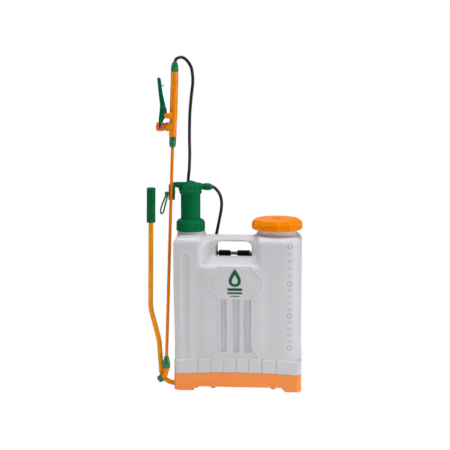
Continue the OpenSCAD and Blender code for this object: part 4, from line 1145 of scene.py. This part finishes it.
def holder_distance(x, y, z):
    """grooved block on a stub, with a knob for the clip's ring"""
    shape = prism(rect(x - 1.2, y - 7, 8.7, 11, 2.5), z, 509.5, 22.5, 2.0)
    start, end = ARM_END + ARM_AXIS * -8.5, ARM_END + ARM_AXIS * 0.4
    stub = rect(y - start[1], z - start[2] - (x - start[0]) * ARM_AXIS[2] / ARM_AXIS[0],
                6.2, 7.6, 2.5)
    shape = union(shape, prism(stub, x, (start[0] + end[0]) / 2, 5.5, 1.2), 2)
    shape = union(shape, rod(x, y, z, ARM_END - ARM_AXIS * 2, ARM_END + ARM_AXIS * 8.4,
                             4.95, 0.4))
    shape = union(shape, rod(x, y, z, (-16.5, KNOB_Y, KNOB_Z), (-6, KNOB_Y, KNOB_Z), 4.0, 0.3),
                  1.0)
    shape = union(shape, rod(x, y, z, (-18.2, KNOB_Y, KNOB_Z), (-16.2, KNOB_Y, KNOB_Z),
                             5.8, 0.7), 0.5)
    # shallow grooves on the face away from the knob
    for groove_z in (494, 500, 518, 524):
        shape = press(shape, x > 8, span(z, groove_z, 1.0), depth=0.8, soft=1.4)
    # the lance's groove, open towards -y
    return cut(shape, union(radial(x, y) - 4.72, common(span(x, 0, 4.72), y)))


place(lance_solid("lance_holder_moulding", (-19, -5, 485), (22, 19, 540), (1.0, 0.65),
                  holder_distance, GREEN), "tank", "lance_holder")

# Clip: a ring on the knob and a soft cord drawn into a long eye
RING_X = -11.6
RING_PROFILE = [(4.12, -1.5, 0), (5.9, -1.5, 0.3), (6.3, -1.0, 0.3), (6.3, 1.0, 0.3),
                (5.9, 1.5, 0.3), (4.12, 1.5, 0)]
CORD = [(1.2, -4.6), (-0.6, -12), (-3.0, -24), (-5.6, -36), (-7.6, -46), (-10, -54),
        (-13.6, -58.2), (-17.0, -56.5), (-17.6, -48), (-15.2, -37), (-11.2, -25), (-6.8, -13),
        (-3.0, -4.6)]                            # (x, z) from the ring's centre
place(lathe("clip_ring", RING_PROFILE, on_lance(RING_X, KNOB_Y, KNOB_Z), 64, 0.8, DARK_GREEN,
            axes=LANCE_AXES @ axes_along((1, 0, 0))), "clip", "clip_strap")
cord_line = catmull([on_lance(RING_X + x, KNOB_Y, KNOB_Z + z) for x, z in CORD], 8)
place(tube("clip_cord", cord_line, 2.3, 14, DARK_GREEN), "clip")


# ---------------------------------------------------------------- nozzle
def elbow_distance(x, y, z):
    off = (x - NOZZLE[0], y - NOZZLE[1], z - NOZZLE[2])
    along = off[0] * NOZZLE_AXIS[0] + off[1] * NOZZLE_AXIS[1] + off[2] * NOZZLE_AXIS[2]
    off_axis = np.sqrt(np.maximum(off[0] ** 2 + off[1] ** 2 + off[2] ** 2 - along * along, 0))
    shape = rod(x, y, z, on_lance(0, 0, 0), on_lance(0, 0, 13), 7.45, 0.4)
    shape = union(shape, rod(x, y, z, on_lance(0, 0, -9), on_lance(0, 0, 0.3), 8.7, 1.6), 1.0)
    # swept bend of 50 degrees, radius 13
    path = [on_lance(0, 0, -8), on_lance(0, 0, -12)]
    for i in range(1, 9):
        t = math.radians(50 * i / 8)
        path.append(on_lance(-13 * (1 - math.cos(t)), 0, -12 - 13 * math.sin(t)))
    path.append(NOZZLE)
    bend = np.minimum.reduce([segment(x, y, z, start, end) - 6.6
                              for start, end in zip(path[:-1], path[1:])])
    shape = union(shape, common(bend, along), 1.2)
    # collar and spigot, with a groove for the O-ring
    shape = union(shape, rod(x, y, z, NOZZLE - NOZZLE_AXIS * 0.5, NOZZLE + NOZZLE_AXIS * 2.4,
                             7.6, 0.5), 0.6)
    shape = union(shape, rod(x, y, z, NOZZLE, NOZZLE + NOZZLE_AXIS * 8.9, 5.95, 0.3))
    shape = cut(shape, common(4.9 - off_axis, span(along, 6, 0.95)))
    return cut(shape, rod(x, y, z, on_lance(0, 0, 9.5), on_lance(0, 0, 20), 4.55, 0.1))


NOZZLE_CAP_PROFILE = [
    (6.1, 2.6, 0), (9.9, 2.6, 0.3), (10.2, 3.1, 0.4), (10.2, 13.2, 1.5), (8.4, 16, 1),
    (6.4, 17, 0.6), (3.1, 17, 0.4), (0.85, 15.2, 0.2), (0.85, 12.3, 0), (6.1, 12.1, 0)]
elbow_low, elbow_high = box_mm("nozzle_elbow")
place(solid("nozzle_elbow_moulding", elbow_low - 1, elbow_high + 1, (0.9, 0.55), elbow_distance,
            GUN_ORANGE), "gun", "nozzle_elbow")
place(lathe("nozzle_cap_moulding", NOZZLE_CAP_PROFILE, NOZZLE, 120, 0.8, FITTING_GREEN,
            axes=axes_along(NOZZLE_AXIS, up=_lance_y),
            shape=fluted(14, 0.9, 8.8, low=3.5, high=13)), "nozzle", "nozzle_cap")

# ---------------------------------------------------------------- straps
# Side view of a strap: (y, z) from the anchor bar
STRAP_POINTS = [(6, 0), (20, -1), (36, -5), (52, -12), (71, -28), (89, -56), (102, -102),
                (109, -152), (106, -205), (94, -250), (78, -290), (63, -320), (57, -341)]
STRAP_LINE = catmull(STRAP_POINTS, 12)
STRAP_LENGTHS = arc_lengths(STRAP_LINE)
# x on the anchor bar and outward splay of each strap
STRAPS = {"left": (-41.6, math.radians(14)), "right": (13.0, -math.radians(14))}


def strap_place(side, points):
    """from the strap's own frame (x across, y back, z up) to the sprayer's"""
    x, y, z = np.asarray(points, float).T
    bar_x, splay = STRAPS[side]
    return np.stack([x * math.cos(splay) + z * math.sin(splay) + bar_x, y + BAR_Y,
                     -x * math.sin(splay) + z * math.cos(splay) + BAR_Z], 1)


def strap_part(start, end):
    return STRAP_LINE[(STRAP_LENGTHS >= start) & (STRAP_LENGTHS <= end)]


def strap_normals(line):
    """normals towards the tank's side of the strap"""
    ahead = tangents(line)
    return np.stack([ahead[:, 1], -ahead[:, 0]], 1)


def set_uv(obj, uvs):
    """UV map from one (u, v) per vertex"""
    mesh = obj.data
    layer = mesh.uv_layers.new(name="UVMap")
    index = np.zeros(len(mesh.loops), np.int32)
    mesh.loops.foreach_get("vertex_index", index)
    layer.data.foreach_set("uv", np.asarray(uvs)[index].astype(np.float32).ravel())


def ribbon(name, side, line, width, thickness, lift=0.0, ripple=0.0, phase=0):
    """flat woven strip along a (y, z) line of the strap"""
    normals, lengths = strap_normals(line), arc_lengths(line)
    steps = np.linspace(-1, 1, 11)
    section = [(u, 1) for u in steps] + [(u, -1) for u in steps[::-1]]
    verts, uvs = [], []
    for point, normal, length in zip(line, normals, lengths):
        for u, face in section:
            selvedge = 1 - 0.35 * max(0, abs(u) - 0.82) / 0.18      # thinner at the edges
            offset = (lift + face * thickness / 2 * selvedge
                      + ripple * math.sin(length / 17.0 + phase) * u * 0.5)
            verts.append((u * width / 2, *(point + normal * offset)))
            uvs.append((length * MM, u * width / 2 * MM + (0 if face > 0 else width * MM)))
    ring = len(section)
    faces = grid_faces(len(line), ring) + end_caps(len(line), ring, flip=True)
    obj = mesh_object(name, strap_place(side, verts), faces, WEBBING)
    set_uv(obj, uvs)
    return obj


def bar_loop(side):
    """the webbing's turn round the anchor bar"""
    half, inner, outer = 35.5 / 2, 5.05, 8.9
    section = [(-half, inner), (-half + 0.8, outer - 0.4), (-half + 2.5, outer),
               (0, outer + 0.15), (half - 2.5, outer), (half - 0.8, outer - 0.4), (half, inner)]
    verts, uvs = [], []
    for i in range(64):
        t = 2 * math.pi * i / 64
        for x, radius in section:
            verts.append((STRAPS[side][0] + x, BAR_Y + radius * math.cos(t),
                          BAR_Z + radius * math.sin(t)))
            uvs.append((radius * t * MM, x * MM))
    faces = grid_faces(64, len(section), closed=True)
    obj = mesh_object(f"strap_loop_{side}", verts, faces, WEBBING)
    set_uv(obj, uvs)
    place(obj, "tank")


def hook_loop(side, hook):
    """the webbing's lower turn round the hook's squarish bar"""
    section = [(-17, 0), (-16.2, 1.9), (0, 2.1), (16.2, 1.9), (17, 0)]
    verts, uvs = [], []
    for i in range(48):
        t = 2 * math.pi * i / 48
        cos, sin = math.cos(t), math.sin(t)
        square = (abs(cos) ** 2.6 + abs(sin) ** 2.6) ** (-1 / 2.6)
        for x, height in section:
            verts.append((hook[0] + x, hook[1] + (3.0 + height) * square * cos,
                          hook[2] + 13 + (2.5 + height) * square * sin))
            uvs.append((t * 5 * MM, x * MM))
    faces = grid_faces(48, len(section), closed=True)
    obj = mesh_object(f"strap_end_{side}", verts, faces, WEBBING)
    set_uv(obj, uvs)
    place(obj, f"hook_{side}")


for phase, side in enumerate(STRAPS):
    main = ribbon(f"strap_webbing_{side}", side, STRAP_LINE[2:], 36, 2.6, ripple=0.5,
                  phase=phase)
    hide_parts(f"strap_{side}")
    hook = joint_mm(f"hook_swing_{side}")
    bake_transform(main)
    hook_loop(side, hook)
    bar_loop(side)
    # doubled tail below the loop
    place(ribbon(f"strap_tail_{side}", side, strap_part(16, 62), 35, 2.2, lift=-2.4),
          "tank")

# ---------------------------------------------------------------- shoulder pads
PAD_LINE = strap_part(82, 304)
PAD_NORMALS = strap_normals(PAD_LINE)
PAD_LENGTHS = arc_lengths(PAD_LINE)
PAD_LENGTH = PAD_LENGTHS[-1]
STITCH_PITCH = 5.2


def pad_end(t):
    """1 along the pad, falling to 0 at its rounded ends"""
    return math.sqrt(max(0.0, 1 - abs(2 * t - 1) ** 8))


def pad_width(t):
    return (58 - 8 * math.sin(math.pi * t)) * (0.30 + 0.70 * pad_end(t))


def pad_cushion(side):
    """crowned foam on the tank's side of the webbing, with two sewn rows and cross quilting"""
    steps = np.linspace(-1, 1, 23)
    verts, uvs = [], []
    for point, normal, length in zip(PAD_LINE, PAD_NORMALS, PAD_LENGTHS):
        t = length / PAD_LENGTH
        end, width = pad_end(t), pad_width(t)
        quilt = 1 - 0.10 * math.exp(-((((length / 34.0) % 1) - 0.5) / 0.07) ** 2)
        for face in (1, -1):
            for u in steps[::face]:
                dome = max(0.0, 1 - abs(u) ** 3) ** 0.5 * (0.25 + 0.75 * end)
                sewn = 1 - 0.42 * math.exp(-((abs(u) - 0.72) / 0.06) ** 2)
                offset = 1.7 + (10.4 * dome * sewn * quilt + 0.4) if face > 0 else 1.7
                verts.append((u * width / 2, *(point + normal * offset)))
                uvs.append((length * MM, u * width / 2 * MM + (0 if face > 0 else 0.1)))
    rows, ring = len(PAD_LINE), 2 * len(steps)
    faces = grid_faces(rows, ring) + end_caps(rows, ring, flip=True)
    obj = mesh_object(f"shoulder_pad_{side}", strap_place(side, verts), faces, PAD_CLOTH)
    set_uv(obj, uvs)
    subdivide = obj.modifiers.new("subd", "SUBSURF")
    subdivide.levels = 1
    subdivide.render_levels = 1
    place(obj, "tank", f"pad_{side}")


def pad_binding(side):
    """round cord along the pad's outline"""
    edge = [(pad_width(length / PAD_LENGTH) / 2, *(point + normal * 2.6))
            for point, normal, length in zip(PAD_LINE, PAD_NORMALS, PAD_LENGTHS)]
    path = strap_place(side, edge + [(-x, y, z) for x, y, z in edge[::-1]])
    obj = tube(f"pad_binding_{side}", np.concatenate([path, path[:1]]), 1.7, 10, BINDING)
    index = np.arange(len(obj.data.vertices))
    set_uv(obj, np.stack([index // 10 * 0.003, index % 10 * 0.001], 1))
    place(obj, "tank")


def pad_stitching(side):
    """short stitches along both edges of the webbing, on its side away from the tank"""
    verts, faces = [], []
    last = len(PAD_LINE) - 1
    for sign in (-1, 1):
        for j in range(int(PAD_LENGTH / STITCH_PITCH)):
            start = (j * STITCH_PITCH + 1) / PAD_LENGTH
            end = (j * STITCH_PITCH + 4.2) / PAD_LENGTH
            points = []
            for t, lift in ((start, 1.55), ((start + end) / 2, 1.8), (end, 1.55)):
                i = min(int(t * last), last - 1)
                part = t * last - i
                point = PAD_LINE[i] * (1 - part) + PAD_LINE[i + 1] * part
                points.append((sign * 14.5, *(point - PAD_NORMALS[i] * lift)))
            base = len(verts) * 18
            verts.append(np.concatenate(rings(strap_place(side, points), 0.42, 6)))
            faces += grid_faces(3, 6, base=base) + end_caps(3, 6, base=base)
    obj = mesh_object(f"pad_stitching_{side}", np.concatenate(verts), faces, THREAD)
    index = np.arange(len(obj.data.vertices))
    set_uv(obj, np.stack([index * 0.0005, index * 0.0], 1))
    place(obj, "tank")


for side in STRAPS:
    pad_cushion(side)
    pad_binding(side)
    pad_stitching(side)


# ---------------------------------------------------------------- buckles
def buckle_distance(x, y, z):
    """ladder-lock buckle: x across the strap, y along it, z off it"""
    shape = prism(rect(x, y, 23.5, 17, 4), z, 0, 2.4, 1.4)
    for slot_y in (-9.5, 0, 9.5):
        shape = cut(shape, prism(rect(x, y - slot_y, 18.8, 2.7, 1), z, 0, 9, 0.5))
    for bar_y in (-4.8, 4.8):
        shape = union(shape, rod(x, y, z, (-19, bar_y, 1.5), (19, bar_y, 1.5), 1.9, 0.5), 0.6)
    return shape


def buckle(side):
    """buckle 62 mm above the webbing's lower end"""
    i = int(np.argmin(np.abs(STRAP_LENGTHS - (STRAP_LENGTHS[-1] - 62))))
    point = STRAP_LINE[i]
    ahead = unit(STRAP_LINE[i + 1] - STRAP_LINE[i - 1])
    normal = np.array([0, ahead[1], -ahead[0]])
    axes = np.stack([[1, 0, 0], [0, *ahead], normal], 1)
    obj = solid(f"strap_buckle_{side}", (-25, -19, -5), (25, 19, 5), (0.9, 0.6),
                buckle_distance, DARK)
    mesh = obj.data
    verts = np.zeros(len(mesh.vertices) * 3, np.float32)
    mesh.vertices.foreach_get("co", verts)
    verts = verts.reshape(-1, 3) / MM @ axes.T + np.array([0, *point]) + normal * 0.2
    mesh.vertices.foreach_set("co", (strap_place(side, verts) * MM).astype(np.float32).ravel())
    mesh.update()
    place(obj, "tank")


for side in STRAPS:
    buckle(side)

# ---------------------------------------------------------------- valve spring
# In the sprayer it shortens as the trigger draws the stem out; here it is drawn at one length
COIL_RADIUS, COIL_STEPS = 4.3, 216               # 5 degrees a step, three turns
coil_line = []
for i in range(COIL_STEPS + 1):
    t = math.radians(i * 5)
    coil_line.append(on_lance(-37.1 - i / COIL_STEPS * 7.9, COIL_RADIUS * math.cos(t),
                              VALVE_Z + COIL_RADIUS * math.sin(t)))
coil = tube("valve_coil", coil_line, 0.48, 10, STEEL)
place(coil, "gun", "valve_spring")
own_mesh(coil)


# ---------------------------------------------------------------- floor and world
def floor_material():
    """matt white that the camera sees as plain white, so there is no horizon"""
    material, tree, shader = new_material("floor_white")
    cloud = noise(tree, coords(tree), scale=3, detail=4)
    set_inputs(tree, shader, {
        "Base Color": ramp(tree, cloud, (0.3, 0.7), ((0.70, 0.70, 0.70, 1),
                                                     (0.73, 0.73, 0.73, 1))),
        "Roughness": 0.9, "Specular IOR Level": 0.1})
    glow = add_node(tree, "Emission", {0: (1, 1, 1, 1), 1: 1.0})
    seen = add_node(tree, "LightPath").outputs["Is Camera Ray"]
    mix = add_node(tree, "MixShader", {0: seen, 1: shader.outputs[0], 2: glow.outputs[0]})
    tree.links.new(mix.outputs[0], tree.nodes["Material Output"].inputs[0])
    return material


floor = mesh_object("floor", [(-9000, -4000, 0), (9000, -4000, 0), (9000, 9000, 0),
                              (-9000, 9000, 0)], [[0, 1, 2, 3]], floor_material(), smooth=False)

# white to the camera, dim as a light
world = bpy.data.worlds.new("studio")
bpy.context.scene.world = world
world.use_nodes = True
world_tree = world.node_tree
seen = add_node(world_tree, "LightPath").outputs["Is Camera Ray"]
set_inputs(world_tree, world_tree.nodes["Background"],
           {0: (1, 1, 1, 1), 1: remap(world_tree, seen, low=0.10, high=1.0, source=(0, 1))})

# ---------------------------------------------------------------- lights and camera, in metres
# name, place, target, (width, height), power in watts
LIGHTS = [
    ("key_left", (-2.4, -0.5, 1.0), (-0.05, 0, 0.4), (0.5, 2.0), 20),
    ("key_right", (2.4, -0.6, 0.8), (0.0, 0, 0.30), (0.5, 2.0), 34),
    ("top", (0, -0.15, 2.6), (0, 0, 0.3), (1.8, 1.2), 46),
    ("front", (0.3, -3.4, 1.3), (0, 0, 0.35), (1.2, 1.2), 3),
    ("low_front", (0.1, -1.2, 0.04), (0, 0, 0.05), (1.6, 0.1), 4.2),
    ("rim_back", (-0.6, 2.2, 1.6), (0, 0, 0.4), (1.6, 1.2), 8),
]


def aimed(name, data, location, direction):
    obj = bpy.data.objects.new(name, data)
    bpy.context.scene.collection.objects.link(obj)
    obj.location = location
    obj.rotation_euler = direction.to_track_quat("-Z", "Y").to_euler()
    return obj


for name, location, target, size, power in LIGHTS:
    light = bpy.data.lights.new(name, "AREA")
    light.shape = "RECTANGLE"
    light.size, light.size_y = size
    light.energy = power
    aimed(name, light, location, Vector(target) - Vector(location))

CAMERA_TARGET = Vector((-0.038, 0, 0.4707))
CAMERA_DISTANCE = 3.2
VIEW_WIDTH = 1.305                               # width in view at the target
azimuth, elevation = math.radians(4), math.radians(8.5)
to_camera = Vector((math.sin(azimuth) * math.cos(elevation),
                    -math.cos(azimuth) * math.cos(elevation), math.sin(elevation)))
camera_data = bpy.data.cameras.new("camera")
camera_data.sensor_width = 36
camera_data.lens = 36 * CAMERA_DISTANCE / VIEW_WIDTH
camera_data.clip_end = 60
bpy.context.scene.camera = aimed("camera", camera_data,
                                 CAMERA_TARGET + to_camera * CAMERA_DISTANCE, -to_camera)
bpy.context.scene.view_settings.view_transform = "Standard"
